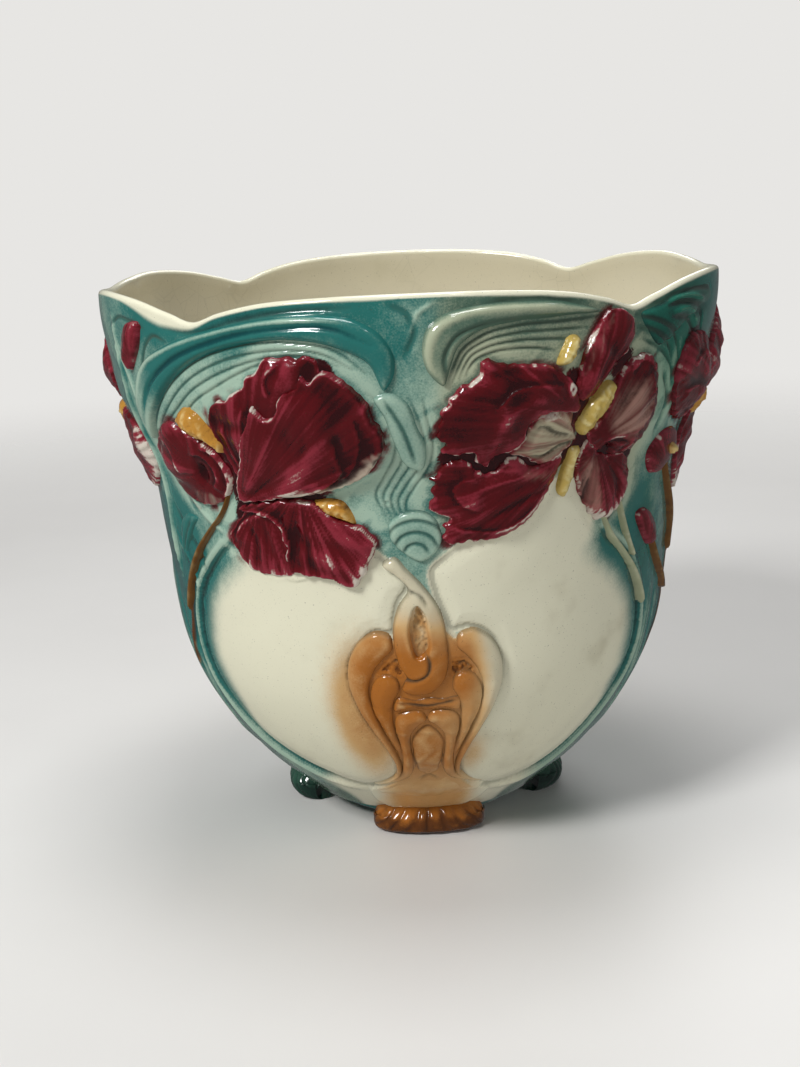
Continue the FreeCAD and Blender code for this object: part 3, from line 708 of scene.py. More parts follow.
# The petals' outlines, which are also where burgundy stains the ground
PETALS = {
    "left_iris_front_petals": [
        (-35.5, 86), (-35.5, 79), (-33, 67), (-31, 56), (-29.3, 51), (-27.2, 43), (-26.4, 45.8),
        (-25, 48), (-23.2, 45.5), (-22.2, 39), (-20.6, 36.5), (-19.2, 35.2), (-18.2, 30), (-16.8, 33),
        (-15.6, 30), (-14.3, 28.8), (-12.5, 31), (-11, 34), (-9.3, 38), (-7.8, 42.5), (-7.2, 48.5),
        (-6, 52.5), (-5.6, 60), (-7, 66), (-8.6, 71), (-12.5, 76.5), (-18, 80.5), (-25.5, 83.5),
        (-31, 86),
    ],
    "left_iris_side_petals": [
        (-59, 69), (-55, 61), (-50, 54), (-46, 57), (-41, 62), (-38, 69), (-36.8, 76), (-38, 83),
        (-41, 89), (-49.5, 91.5), (-54, 87), (-57, 80),
    ],
    "left_iris_falls": [
        (-37, 91), (-32, 86.5), (-26, 84.5), (-20, 85), (-15.5, 92), (-11, 96), (-8.3, 103), (-9.5, 109),
        (-11, 117), (-13.5, 122.5), (-17.5, 119), (-22, 118), (-26, 116), (-26.3, 104), (-28, 95),
        (-32, 92),
    ],
    "left_iris_fold_petals": [
        (-38.5, 98), (-34, 90), (-28, 90), (-24, 98), (-23, 112), (-25, 118), (-31, 120), (-36, 118),
        (-39, 111), (-40.5, 104),
    ],
    "left_iris_back_petals": [
        (-33, 86), (-36.5, 68), (-37, 46), (-35.3, 42.5), (-33, 41.5), (-31.5, 38.5), (-29.5, 36.5),
        (-28, 31), (-26.6, 30.2), (-25.4, 26), (-24, 23.5), (-22.4, 24.3), (-21, 23.3), (-19, 24.2),
        (-17.3, 23), (-15.6, 25), (-15, 34), (-18, 48), (-24, 58), (-29, 70),
    ],
    "right_iris_upper_petals": [
        (28.2, 50), (27.6, 44), (26.2, 38), (24, 34), (22, 31), (17.5, 29.6), (13.4, 28.4), (11, 26.3),
        (10.2, 28.3), (10.1, 32.2), (8.5, 35.5), (6.6, 37.2), (6.2, 39.6), (5.2, 41), (5, 44),
        (3.6, 46.5), (4, 49.5), (3.2, 52.5), (3.4, 55), (2.8, 57), (4.4, 60), (4, 63.3), (6.9, 65.5),
        (9.2, 64.6), (10.4, 70), (12.2, 71.5), (13.1, 67.4), (16.4, 65.2), (18.5, 61), (18.9, 54.8),
        (21.5, 51),
    ],
    "right_iris_heart_petals": [
        (19, 53.5), (21.5, 50.5), (24.5, 49.5), (27, 49), (27.2, 56), (28.8, 63.5), (26.8, 68),
        (24.2, 72.6), (21.7, 72.8), (19, 69), (15.7, 66.2), (17.4, 62.7), (18.7, 58.4),
    ],
    "right_iris_lower_petals": [
        (26.6, 69.5), (23.5, 71), (21, 73.3), (17.5, 68), (15.8, 68), (14.5, 72.2), (11.5, 74),
        (9.9, 71.2), (8.3, 67.6), (5.4, 68), (3.6, 71.5), (3.4, 73.4), (1.8, 75.5), (2.9, 78),
        (1.9, 80.5), (2.6, 83.5), (1.5, 86.5), (2.3, 90.3), (5.4, 93.6), (4, 96.5), (4.6, 99.5),
        (3.8, 101.5), (5, 104.5), (9, 104), (13.8, 104), (18.3, 100.6), (22, 94.3), (24.8, 85),
        (26.2, 77),
    ],
    "right_iris_bud_petals": [
        (27.2, 36), (28.5, 26), (30.5, 18), (33, 12), (36, 11.5), (38.4, 15), (38.8, 21), (37.5, 27),
        (35, 33), (32.5, 39), (30, 46), (28, 47), (26.9, 43),
    ],
    "right_iris_side_petals": [
        (35.5, 42), (37, 35), (40, 31.5), (42.5, 31), (45, 36), (46.3, 46), (47.6, 57), (46.8, 66),
        (43.5, 73), (39, 74), (34, 70), (31, 63), (33.5, 55),
    ],
    "right_iris_curl_petals": [
        (31, 65), (36, 72), (43, 75), (45, 84), (45, 91), (43, 99), (39, 103), (36.5, 102), (34, 96),
        (32, 90), (30.8, 82), (30.3, 74),
    ],
    "side_spray_top_petals": [
        (70, 44), (73, 33), (79, 25), (86, 21), (92, 24), (97, 32), (98, 44), (94, 54), (87, 59),
        (79, 60), (73, 55),
    ],
    "side_spray_left_petals": [
        (52.5, 46), (53.5, 36), (56, 28), (60, 27), (65, 31), (70, 40), (72, 52), (68, 62), (60, 66),
        (55, 59),
    ],
    "side_spray_right_petals": [
        (97, 60), (103, 57), (109, 61), (113, 68), (114, 77), (112, 87), (107, 93), (101, 92), (97, 84),
        (95, 72),
    ],
    "side_spray_falls": [
        (72, 62), (80, 60), (88, 60), (94, 64), (96, 76), (95, 88), (92, 98), (87, 106), (82, 108),
        (76, 103), (72, 92), (70, 77),
    ],
}


# Grooves and ridges in the ground between the relief pieces: line, half width, rise and dark glaze in it
GROUND_STROKES = [
    ([(-46, 248), (-38, 247), (-30, 252), (-20, 256), (-10, 257)], 1.2, -0.8, 0.35),
    ([(-34, 249), (-24, 253.5), (-14, 255)], 1.1, 0.7, 0.0),
    ([(12, 257), (20, 257.5), (28, 254)], 1.2, -0.8, 0.35),
    ([(-4, 258), (-1, 254), (0, 247), (-1.5, 238)], 1.3, -0.9, 0.35),
    ([(3, 258), (0.5, 254), (-0.5, 246)], 1.1, 0.7, 0.0),
    ([(48, 222), (52, 208), (52, 192)], 1.4, -0.9, 0.35),
    ([(-66, 170), (-60, 160), (-54, 148), (-50, 136)], 1.5, -0.9, 0.35),
    ([(-63, 150), (-58, 140), (-55, 128), (-55, 116)], 1.4, 0.8, 0.0),
    ([(-52, 172), (-47, 163), (-42, 158)], 1.3, 0.8, 0.0),
    ([(-63, 248), (-60, 251), (-56, 250), (-52, 247.5)], 0.8, -0.8, 0.8),
    ([(-55.5, 226), (-53.6, 234), (-51.5, 241), (-49.3, 244.4), (-46, 242.4)], 0.8, -0.9, 0.8),
    ([(3.0, 48), (0.6, 43.8), (-2.6, 39.5)], 0.6, -0.8, 0.5),
    ([(-3.0, 48), (-0.6, 43.8), (2.6, 39.5)], 0.6, -0.8, 0.5),
    ([(-62.5, 251), (-62.6, 236), (-60.5, 222), (-59.5, 208)], 1.7, 0.9, 0.0),
]

# The swirl below the right notch, and the arcs that bend down from there: line and rise
CORNER_SWIRL = [
    (41, 15), (45, 12), (52, 8), (58, 6.5), (63, 8), (64, 13), (59, 17), (53, 22), (48, 29), (46, 30),
    (43, 24),
]
CORNER_ARCS = [
    ([(42.8, 250), (46.4, 250.8), (49.4, 253.1), (53.6, 254.1), (63, 253)], -1.1),
    ([(47.5, 250.4), (50.6, 251.9), (55.1, 251.2), (58.6, 248.6)], 1.0),
    ([(47.5, 248.9), (50.6, 249.8), (54.4, 248.8), (58.5, 245.1), (60.5, 241), (61, 234)], -1.1),
    ([(48.7, 246.2), (51.9, 246.8), (55.9, 243.6), (58.9, 238.2)], 1.0),
    ([(48.1, 244.1), (51.8, 243.4), (55.8, 239.6), (58.2, 233)], -1.1),
    ([(40, 246.5), (43.3, 244.7), (46.7, 241.5), (49.4, 238), (52, 232), (53, 226)], -1.1),
    ([(40.2, 241.9), (43.4, 240), (46.6, 235.8), (49.4, 231), (51, 224)], -1.1),
    ([(41.7, 236.5), (45, 232.9), (48.2, 228.6), (50.9, 222), (52, 214)], -1.1),
]

# Fans of grooves: first line, last line, number of lines, half width, rise and dark glaze in them
GROOVE_FANS = [
    ([
        (-59, 196), (-55, 206), (-50, 217), (-44, 228), (-37, 237), (-28, 243), (-20, 244), (-12, 240),
        (-8, 232),
    ], [
        (-50, 205), (-47, 209), (-43, 214), (-40, 219), (-36, 224), (-31, 230), (-26, 235), (-20, 238),
        (-14, 236),
    ], 4, 0.55, -0.8, 0.8),
    ([
        (4.8, 226), (6, 233), (7.4, 239.5), (10.5, 244.5), (16, 247.5), (24, 248), (32, 248.5),
    ], [
        (8, 229), (8.5, 232), (9.5, 235), (12, 237.5), (16, 238.5), (20, 238), (23, 236.5),
    ], 4, 0.55, -0.8, 0.8),
    ([
        (-8, 224), (-4.5, 216), (-3.5, 205), (-4.5, 195), (-6.5, 187), (-8, 180), (-6.5, 171),
    ], [
        (1, 221), (1.8, 211), (2.6, 200), (1.5, 190), (-1, 182), (-2.5, 176), (-2, 168),
    ], 5, 0.6, -0.5, 0.45),
]

# Where the teal on the ground is deeper or paler: azimuth, height, half width, half height, change of tone
TEAL_POOLS = [
    (-32, 257, 22, 12, -0.50), (-52, 246, 8, 10, -0.10), (-57, 145, 6, 30, -0.45),
    (53, 138, 6, 34, -0.42), (57, 240, 13, 20, -0.58), (18, 257, 14, 6, -0.18), (-80, 190, 12, 50, -0.20),
    (80, 190, 12, 50, -0.25), (-73, 80, 14, 50, -0.30), (73, 80, 14, 50, -0.34), (-3, 240, 3, 14, -0.20),
    (0, 168, 5, 16, -0.16), (-32, 226, 14, 14, 0.10), (16, 232, 12, 10, 0.06), (-10, 172, 6, 9, 0.16),
    (-69, 150, 9, 45, -0.35), (-3, 196, 7, 30, 0.10),
]


def amber_strength(azimuth, z):
    """How strongly amber is sprayed over the cartouche, which is paler at its top, foot and right"""
    side = np.abs(azimuth)
    total = 0.80 * smoothstep(78, 52, z) * smoothstep(15, 8, side) * (0.7 + 0.3 * smoothstep(34, 56, z))
    total = np.maximum(total, 0.6 * smoothstep(21, 8, side) * smoothstep(50, 32, z))
    for turn, height, wide, tall, amount in (
        (-10, 93, 6.0, 25, 2.3), (0, 101, 7, 19, 1.7), (0, 70, 9, 24, 0.9), (7.5, 104, 3.5, 16, 1.0),
        (10, 80, 4, 22, 0.4),
    ):
        total = total + amount * spot(azimuth - turn, wide, z - height, tall)
    return 1 - np.exp(-1.2 * total)


def fanned(first, last, count):
    """Lines spread evenly between two lines of as many points"""
    first, last = np.array(first, float), np.array(last, float)
    return [first + (last - first) * share for share in np.linspace(0, 1, count)]


def swell_panels(sheet, side, wave):
    """Swells the panels and cuts grooves round them; gives the shares of cream and of dark line"""
    z = sheet.z
    cream = np.zeros(z.shape)
    line = np.zeros(z.shape)
    for panel in (LEFT_PANEL, RIGHT_PANEL):
        depth, _ = sheet.depth_in(panel, 30)
        outer = smoothstep(18, 34, side) * smoothstep(166, 140, z)
        wide = outer * smoothstep(48, 95, z)
        rib = bell(depth + 3.2, 1.9) * outer
        groove = bell(depth, 0.85) * (0.55 + 0.45 * outer) * smoothstep(160, 148, z)
        border = bell(np.maximum(depth, 0), 7) * wide * (depth > -2)
        sheet.height += 1.0 * smoothstep(0, 7, depth) - 1.1 * groove + 1.5 * rib
        sheet.tone += 0.34 * rib - 0.10 * groove - 0.26 * border
        line = np.maximum(line, groove * (1 - 0.6 * outer))
        spread = 3 + 19 * wide
        cream = np.maximum(cream, smoothstep(0, 1, (depth + 3 - 2.5 * outer) / spread + 0.1 * wave))
    return cream, line


def stain_by_petals(sheet, azimuth, wave, blots, cream):
    """Fills the ground between petals; gives the share of burgundy that stains it"""
    z = sheet.z
    stain = np.zeros(z.shape)
    halo = np.zeros(z.shape)
    crowd = np.zeros(z.shape)
    for points in PETALS.values():
        for turn in (0, -180):
            depth, _ = sheet.depth_in([(az + turn, height) for az, height in hung(points)], 16)
            stain = np.maximum(stain, smoothstep(-4.5, 0.5, depth + 1.2 * wave) * (0.2 + 0.8 * blots))
            halo = np.maximum(halo, bell(depth + 3.5, 3.5))
            crowd += smoothstep(-5.5, -0.5, depth)
    between_petals = smoothstep(0.85, 1.35, crowd)
    stain = np.maximum(stain, between_petals) * (1 - 0.9 * smoothstep(0.3, 0.9, cream))
    sheet.height += 0.7 * between_petals
    sheet.tone += 0.26 * halo * (1 - blots) * (1 - between_petals) - 0.45 * between_petals
    for turn, height in ((36.3, 191.5), (-43.6, 187), (29, 222)):
        stain = np.maximum(stain, spot(azimuth - turn, 2.5, z - height, 6))
    return stain * (0.85 + 0.35 * between_petals)


def rule_lines(sheet):
    """Cuts the grooves and ridges between relief pieces, and levels the ground under the swirl"""
    strokes = list(GROUND_STROKES)
    for first, last, count, *looks in GROOVE_FANS:
        strokes += [(line, *looks) for line in fanned(first, last, count)]
    for points, width, rise, ink in strokes:
        sheet.stroke(points, width, rise, 0.12 * np.sign(rise), ink)
    bare = sheet.height.copy()
    for points, rise in CORNER_ARCS:
        sheet.stroke(points, 0.9, rise, 0.24 * np.sign(rise), 0.4 * (rise < 0))
    under = sheet.depth_in(hung(CORNER_SWIRL), 12)[0]
    sheet.height += smoothstep(-2, 1, under) * (bare - 0.2 - sheet.height)


def raise_cartouche(sheet, azimuth, cream):
    """Raises the ground of the cartouche; gives the shares of cream and of amber"""
    z = sheet.z
    depth, _ = sheet.depth_in(CARTOUCHE, 12)
    sheet.height += 1.2 * smoothstep(0, 2, depth)
    cream = np.maximum(cream, smoothstep(-2, 1, depth))
    sheet.tone += smoothstep(-1, 2, depth) * (0.52 - sheet.tone)
    amber = smoothstep(-1, 2, depth) * amber_strength(azimuth, z)
    left_glow = spot(azimuth + 14, 7, z - 78, 32)
    right_glow = spot(azimuth - 11, 4.5, z - 54, 13)
    amber = np.maximum(amber, np.maximum(0.9 * left_glow, 0.40 * right_glow))
    for edge, deep, brown in RECESSES:
        rough = smoothstep(-0.5, 1.0, sheet.depth_in(edge, 8)[0])
        sheet.height += rough * (0.9 * mottle(sheet.x, z, 1.6, 4) - 0.8)
        sheet.tone -= rough * (deep + 0.16 * mottle(sheet.x, z, 2.0, 9))
        amber = amber + rough * (brown + 0.2 * mottle(sheet.x, z, 3.0, 12) - amber)
    return cream, amber


def ground():
    """Height, tone and colour shares of the body's outside, over half a turn"""
    half = sizes().columns
    azimuth = -90 + 180 * (np.arange(half) + 0.5) / half
    share = np.linspace(0, 1, sizes().rows)[:, None]
    z = FLOOR_LEVEL + (rim_height(azimuth) - millimetres("lip") / 2 - FLOOR_LEVEL) * share
    sheet = Sheet(np.broadcast_to(azimuth, z.shape), z, 0.0)
    side = np.abs(azimuth)
    round_x = 60 * np.cos(np.radians(2 * azimuth)) + 0.6 * z
    round_y = 60 * np.sin(np.radians(2 * azimuth)) - 0.8 * z
    wave = mottle(round_x, round_y, 26, 8)
    blots = smoothstep(0.0, 0.5, mottle(round_x, round_y, 10, 15))
    sheet.tone[:] = 0.72 + 0.10 * wave + 0.05 * mottle(round_x, round_y, 9, 6)
    sheet.height += 0.25 * wave
    for turn, height, wide, tall, change in TEAL_POOLS:
        sheet.tone += change * spot(from_face(azimuth - turn), wide, z - height, tall)
    cream, line = swell_panels(sheet, side, wave)
    stain = stain_by_petals(sheet, azimuth, wave, blots, cream)
    rule_lines(sheet)
    cream, amber = raise_cartouche(sheet, azimuth, cream)
    for points in BLADES:
        sheet.stroke(points, 3.6, 1.0, 0.26)
        sheet.stroke(points, 0.7, -0.7, -0.2, 0.6)
    for points in STEM_FEET:
        sheet.stroke(points, 2.1, 1.3, -0.8)
        close, gap, _, ends = sheet.near(points, 6)
        amber[close] = np.maximum(amber[close], bell(gap, 2.3) * ends)
    cream = np.maximum(cream, 0.9 * smoothstep(44, 28, side) * smoothstep(40, 31, z))
    sage = smoothstep(-1, 7, azimuth) * smoothstep(54, 44, azimuth) * smoothstep(150, 175, z)
    emerald = spot(azimuth - 54, 12, z - 232, 38)
    emerald = np.maximum(emerald, 0.6 * spot(azimuth - 56, 5, z - 150, 40))
    sheet.hill(-6, 176.5, 1.8, 1.0, 0.1)
    sheet.hill(-6, 176.5, 0.9, -1.4, -0.1)
    lip_width = 3.0 + 4.5 * bell(azimuth + 48, 7)
    hollow = blurred(sheet.height, 2.4) - sheet.height
    paint = {
        "tone": np.clip(sheet.tone - 0.22 * hollow, 0, 1),
        "cream": cream,
        "stain": stain,
        "amber": amber,
        "green": smoothstep(34, 14, z) * smoothstep(26, 36, side),
        "emerald": emerald,
        "sage": sage * (1 - 0.6 * smoothstep(0.4, 0.0, np.abs(azimuth - 2) / 6)),
        "line": np.maximum(line, sheet.line),
        "lip": smoothstep(1, 0.2, (rim_height(azimuth) - z) / lip_width + 0.2 * wave),
    }
    return z, sheet.height, paint


def body_paint(start):
    """Cream panels, teal round them, amber round the cartouche, burgundy near the petals, tan inside"""
    colours = bpy.context.scene.cachepot_glazes
    spray = start.noise(1300, 2) * 0.35 + start.noise(150) * 0.30
    tone = start.attribute("tone") + spray + start.noise(40) * 0.16
    deep = (start.attribute("emerald") + spray * 0.4).rise(0.1, 0.9)
    teal = (start.attribute("sage") + spray * 0.3).between(tones(tone, "teal"), tones(tone, "sage"))
    teal = deep.between(teal, tones(tone, "emerald"))
    green = tones(tone, "green")
    amber = tones(tone, "amber")
    stain = tones(tone - 0.25, "burgundy")
    pooled = opaque(colours.cream_pooled)
    cream = (start.noise(35) + 0.5).rise(0.05, 0.45).between(pooled, opaque(colours.cream))
    outside = (start.attribute("cream") + spray * 0.5).rise(0.05, 0.95).between(teal, cream)
    outside = (start.attribute("green") + spray * 0.4).rise(0.2, 0.9).between(outside, green)
    coat = start.attribute("amber") + spray * 0.4
    thin = coat.rise(0.02, 0.55) * start.attribute("cream")
    outside = coat.rise(0.30, 1.0).between(thin.between(outside, opaque(colours.amber_thin)), amber)
    outside = (start.attribute("line") * 0.75).between(outside, opaque(colours.line))
    outside = (start.attribute("stain") + spray * 0.5).rise(0.15, 1.0).between(outside, stain)
    outside = (start.attribute("lip") + spray * 0.4).rise(0.1, 0.9).between(outside, opaque(colours.cream))
    within = (start.noise(30) + 0.5).rise(0.0, 0.4).between(pooled, opaque(colours.inside))
    aged = start.noise(9, 5, 0.65).rise(0.02, 0.30) * 0.35
    within = aged.between(within, pooled)
    on_pot = start.node("ShaderNodeTexCoord", {}, output="Object")
    looks = {"Vector": on_pot, "Scale": 95.0}
    cracks = start.node("ShaderNodeTexVoronoi", looks, feature="DISTANCE_TO_EDGE")
    fine = (1 - cracks.rise(0.0, 0.035)) * (start.noise(20) + 0.5).rise(0.35, 0.65) * 0.12
    within = fine.between(within, opaque([value * 0.4 for value in colours.cream_pooled]))
    return start.attribute("inside").between(outside, within)


class CACHEPOT_OT_body(bpy.types.Operator):
    """Builds the body with its wavy rim, its panels and its inside"""

    bl_idname = "cachepot.body"
    bl_label = "Body"

    def execute(self, context):
        z, out, paint = ground()
        rows = self.rings(z, out)
        count, columns = rows.shape[:2]
        number = np.arange(count * columns).reshape(count, columns)
        around = np.roll(number, -1, axis=1)
        above = np.roll(number, -1, axis=0)
        quads = np.stack([number, around, np.roll(above, -1, axis=1), above], axis=-1).reshape(-1, 4)
        points, faces = rows.reshape(-1, 3), quads.tolist()
        attributes = self.painted(paint, count - len(z))
        material = fired("body_glaze", body_paint)
        made_piece("glazed_pot_body", "pot_body", material, points, faces, attributes)
        return {"FINISHED"}

    def rings(self, z, out):
        """Rings of points up the outside, over the lip, down the inside, across the floor and under it"""
        columns = 2 * sizes().columns
        azimuth = -90 + 360 * (np.arange(columns) + 0.5) / columns
        outer = place(np.broadcast_to(azimuth, (len(z), columns)), np.tile(z, 2), np.tile(out, 2))
        lip = millimetres("lip")
        turns = np.linspace(0, np.pi, 10)[1:, None]
        edge = np.broadcast_to(rim_height(azimuth) - lip / 2, (len(turns), columns))
        across = np.tile(out[-1], 2) - lip / 2 * (1 - np.cos(turns))
        rounded = place(np.broadcast_to(azimuth, edge.shape), edge, across)
        rounded[..., 2] += lip / 2 * np.sin(turns) / 1000
        down = np.linspace(0, 1, 90)[1:, None] ** 0.9
        depth = (rim_height(azimuth) - lip / 2) * (1 - down) + INNER_WALL_FOOT * down
        wall = lip + (millimetres("wall") - lip) * smoothstep(0, 0.25, down)
        inner = place(np.broadcast_to(azimuth, depth.shape), depth, -wall * np.ones_like(depth))
        rings = [outer, rounded, inner]
        low = np.hypot(inner[-1, :, 0], inner[-1, :, 1]) * 1000
        low_z = inner[-1, :, 2] * 1000
        for share in np.linspace(0, 1, 14)[1:]:
            turn = share * np.pi / 2
            radius = low + (INNER_FLOOR_RADIUS - low) * np.sin(turn)
            height = INNER_FLOOR + (low_z - INNER_FLOOR) * (1 - np.sin(turn)) ** 1.4
            rings.append(turned(azimuth, radius, height)[None])
        for radius, height in ((1.0, INNER_FLOOR), (1.0, FLOOR_LEVEL), (UNDERSIDE_RADIUS, FLOOR_LEVEL)):
            rings.append(turned(azimuth, radius, height)[None])
        return np.concatenate(rings)

    def painted(self, paint, extra):
        """The outside's painted values, carried on by extra rings over the lip and the inside"""
        attributes = {}
        for name, values in paint.items():
            top_row = values[-1:]
            past_rim = {"tone": top_row, "lip": np.ones_like(top_row)}
            last = np.tile(past_rim.get(name, np.zeros_like(top_row)), (extra, 2))
            attributes[name] = np.concatenate([np.tile(values, 2), last]).ravel()
        rows, half = paint["tone"].shape
        within = np.zeros((rows + extra, 2 * half))
        within[rows + 4:] = smoothstep(0, 5, np.arange(extra - 4))[:, None]
        attributes["inside"] = within.ravel()
        return attributes


# Sections of the foot ring and of a foot, as radii and heights, and the radius of a foot's back
RING_SECTION = [(43, 10), (43, 5), (44, 3.3), (47, 3), (50, 3.3), (51.5, 5), (51.8, 10)]
FOOT_SECTION = [
    (62, 15.5), (67, 12.5), (70.3, 7), (69, 2.5), (65, 0.3), (58, 0.3), (53, 0.8), (53, 8), (55, 13),
]
FOOT_BACK = 53


class CACHEPOT_OT_feet(bpy.types.Operator):
    """Builds the foot ring and the four shell-shaped feet"""

    bl_idname = "cachepot.feet"
    bl_label = "Foot ring and feet"

    def execute(self, context):
        self.ring()
        for node, azimuth, angle, slot in (
            ("front_foot", 0, 26, "amber_glaze"),
            ("back_foot", 180, 26, "amber_glaze"),
            ("left_foot", -90, 22, "green_glaze"),
            ("right_foot", 90, 22, "green_glaze"),
        ):
            self.foot(node, azimuth, angle, slot)
        return {"FINISHED"}

    def lathe(self, name, node, slot, radius, height, azimuth, tone, closed):
        points = turned(azimuth, radius, height).reshape(-1, 3)
        rows, columns = radius.shape
        number = np.arange(rows * columns).reshape(rows, columns)
        above = np.roll(number, -1, axis=0)
        if closed:
            beside, corner = np.roll(number, -1, axis=1), np.roll(above, -1, axis=1)
        else:
            number, above = number[:, :-1], above[:, :-1]
            beside, corner = number + 1, above + 1
        faces = np.stack([number, beside, corner, above], axis=-1).reshape(-1, 4).tolist()
        if not closed:
            faces += [number[::-1, 0].tolist(), beside[:, -1].tolist()]
        attributes = {"tone": tone.ravel(), "fade": np.zeros(tone.size), "line": np.zeros(tone.size)}
        material = glaze(slot.replace("_glaze", ""))
        made_piece(name, node, material, points, faces, attributes)

    def ring(self):
        section = smooth(RING_SECTION, step=0.6)
        azimuth = np.broadcast_to(np.arange(0, 360, 2.0), (len(section), 180))
        radius = np.broadcast_to(section[:, :1], azimuth.shape)
        height = np.broadcast_to(section[:, 1:], azimuth.shape)
        tone = 0.45 + 0.25 * mottle(azimuth, height, 9, 5)
        self.lathe("glazed_foot_ring", "foot_ring", "teal_glaze", radius, height, azimuth, tone, True)

    def foot(self, node, middle, angle, slot):
        across = np.linspace(-1, 1, 201)[None, :]
        section = smooth(FOOT_SECTION, closed=True, step=0.6)
        low, high = section[:, :1], np.maximum(section[:, 1:], 0)
        taper = np.sqrt(np.maximum(1 - across ** 4, 0.02))
        outer = smoothstep(56, 66, low)
        phase = across * 4.5 * (1 + 0.05 * (high - 8)) + 0.2 * wander(across * 6 + 40, 3)
        groove = bell(phase - np.round(phase), 0.2) * smoothstep(1, 4, high) * smoothstep(16, 10, high)
        radius = FOOT_BACK + (low - FOOT_BACK) * (0.35 + 0.65 * taper) - 1.2 * outer * groove * taper
        height = high * np.where(high > 9, 0.5 + 0.5 * taper, 1.0)
        azimuth = middle + across * angle + np.zeros_like(radius)
        # The feet are kept mostly pooled and dark, which also paints the shade they stand in; their upper
        # outer faces are painted paler as a highlight, and the flutes darker where glaze pools
        tone = 0.08 - 0.10 * groove * outer + 0.26 * outer * smoothstep(6, 12, height)
        tone = tone + 0.12 * mottle(azimuth, height, 4, 3)
        self.lathe("glazed_" + node, node, slot, radius, height, azimuth, np.clip(tone, 0, 1), False)


# On the petals, ridges drawn with a paler tone paint a sheen along the folds, and grooves drawn darker
# beside them paint the shade under the folds, over glaze that runs thin on ridges and pools in grooves
def petal(node, edge, crown, run, throat, folds, veins, waves=24, size=0.6, seed=3, pale=0.66):
    """A ruffled petal with folds and veins that spread from its throat"""
    made = Patch(hung(PETALS[node]))
    made.ruffle(waves, size, seed)
    made.dome(edge, crown, run)
    made.folds(*throat, *folds, seed)
    made.veins(*throat, *veins, seed + 2)
    made.lip(0.6, 0.5, pale, seed + 4)
    made.soft = 1.0
    made.flank = pale
    return made


def beard(points, seed):
    made = Patch(hung(points))
    made.dome(1.8, millimetres("beard_relief"), 4.5)
    made.grain(1.5, 0.6, seed)
    made.tone += 0.20 * mottle(made.x, made.z, 2.5, seed + 3)
    made.soft = 1.8
    return made


def stem(points, start_width, end_width):
    made = Patch(hung(points), (start_width, end_width))
    made.dome(1.7, millimetres("stem_relief"), 1.6)
    made.soft = 1.6
    made.tone += 0.12 * wander(made.share * 22, 6) - 0.05
    made.depth -= end_width / 2 * smoothstep(0.82, 1.0, made.share)
    return made


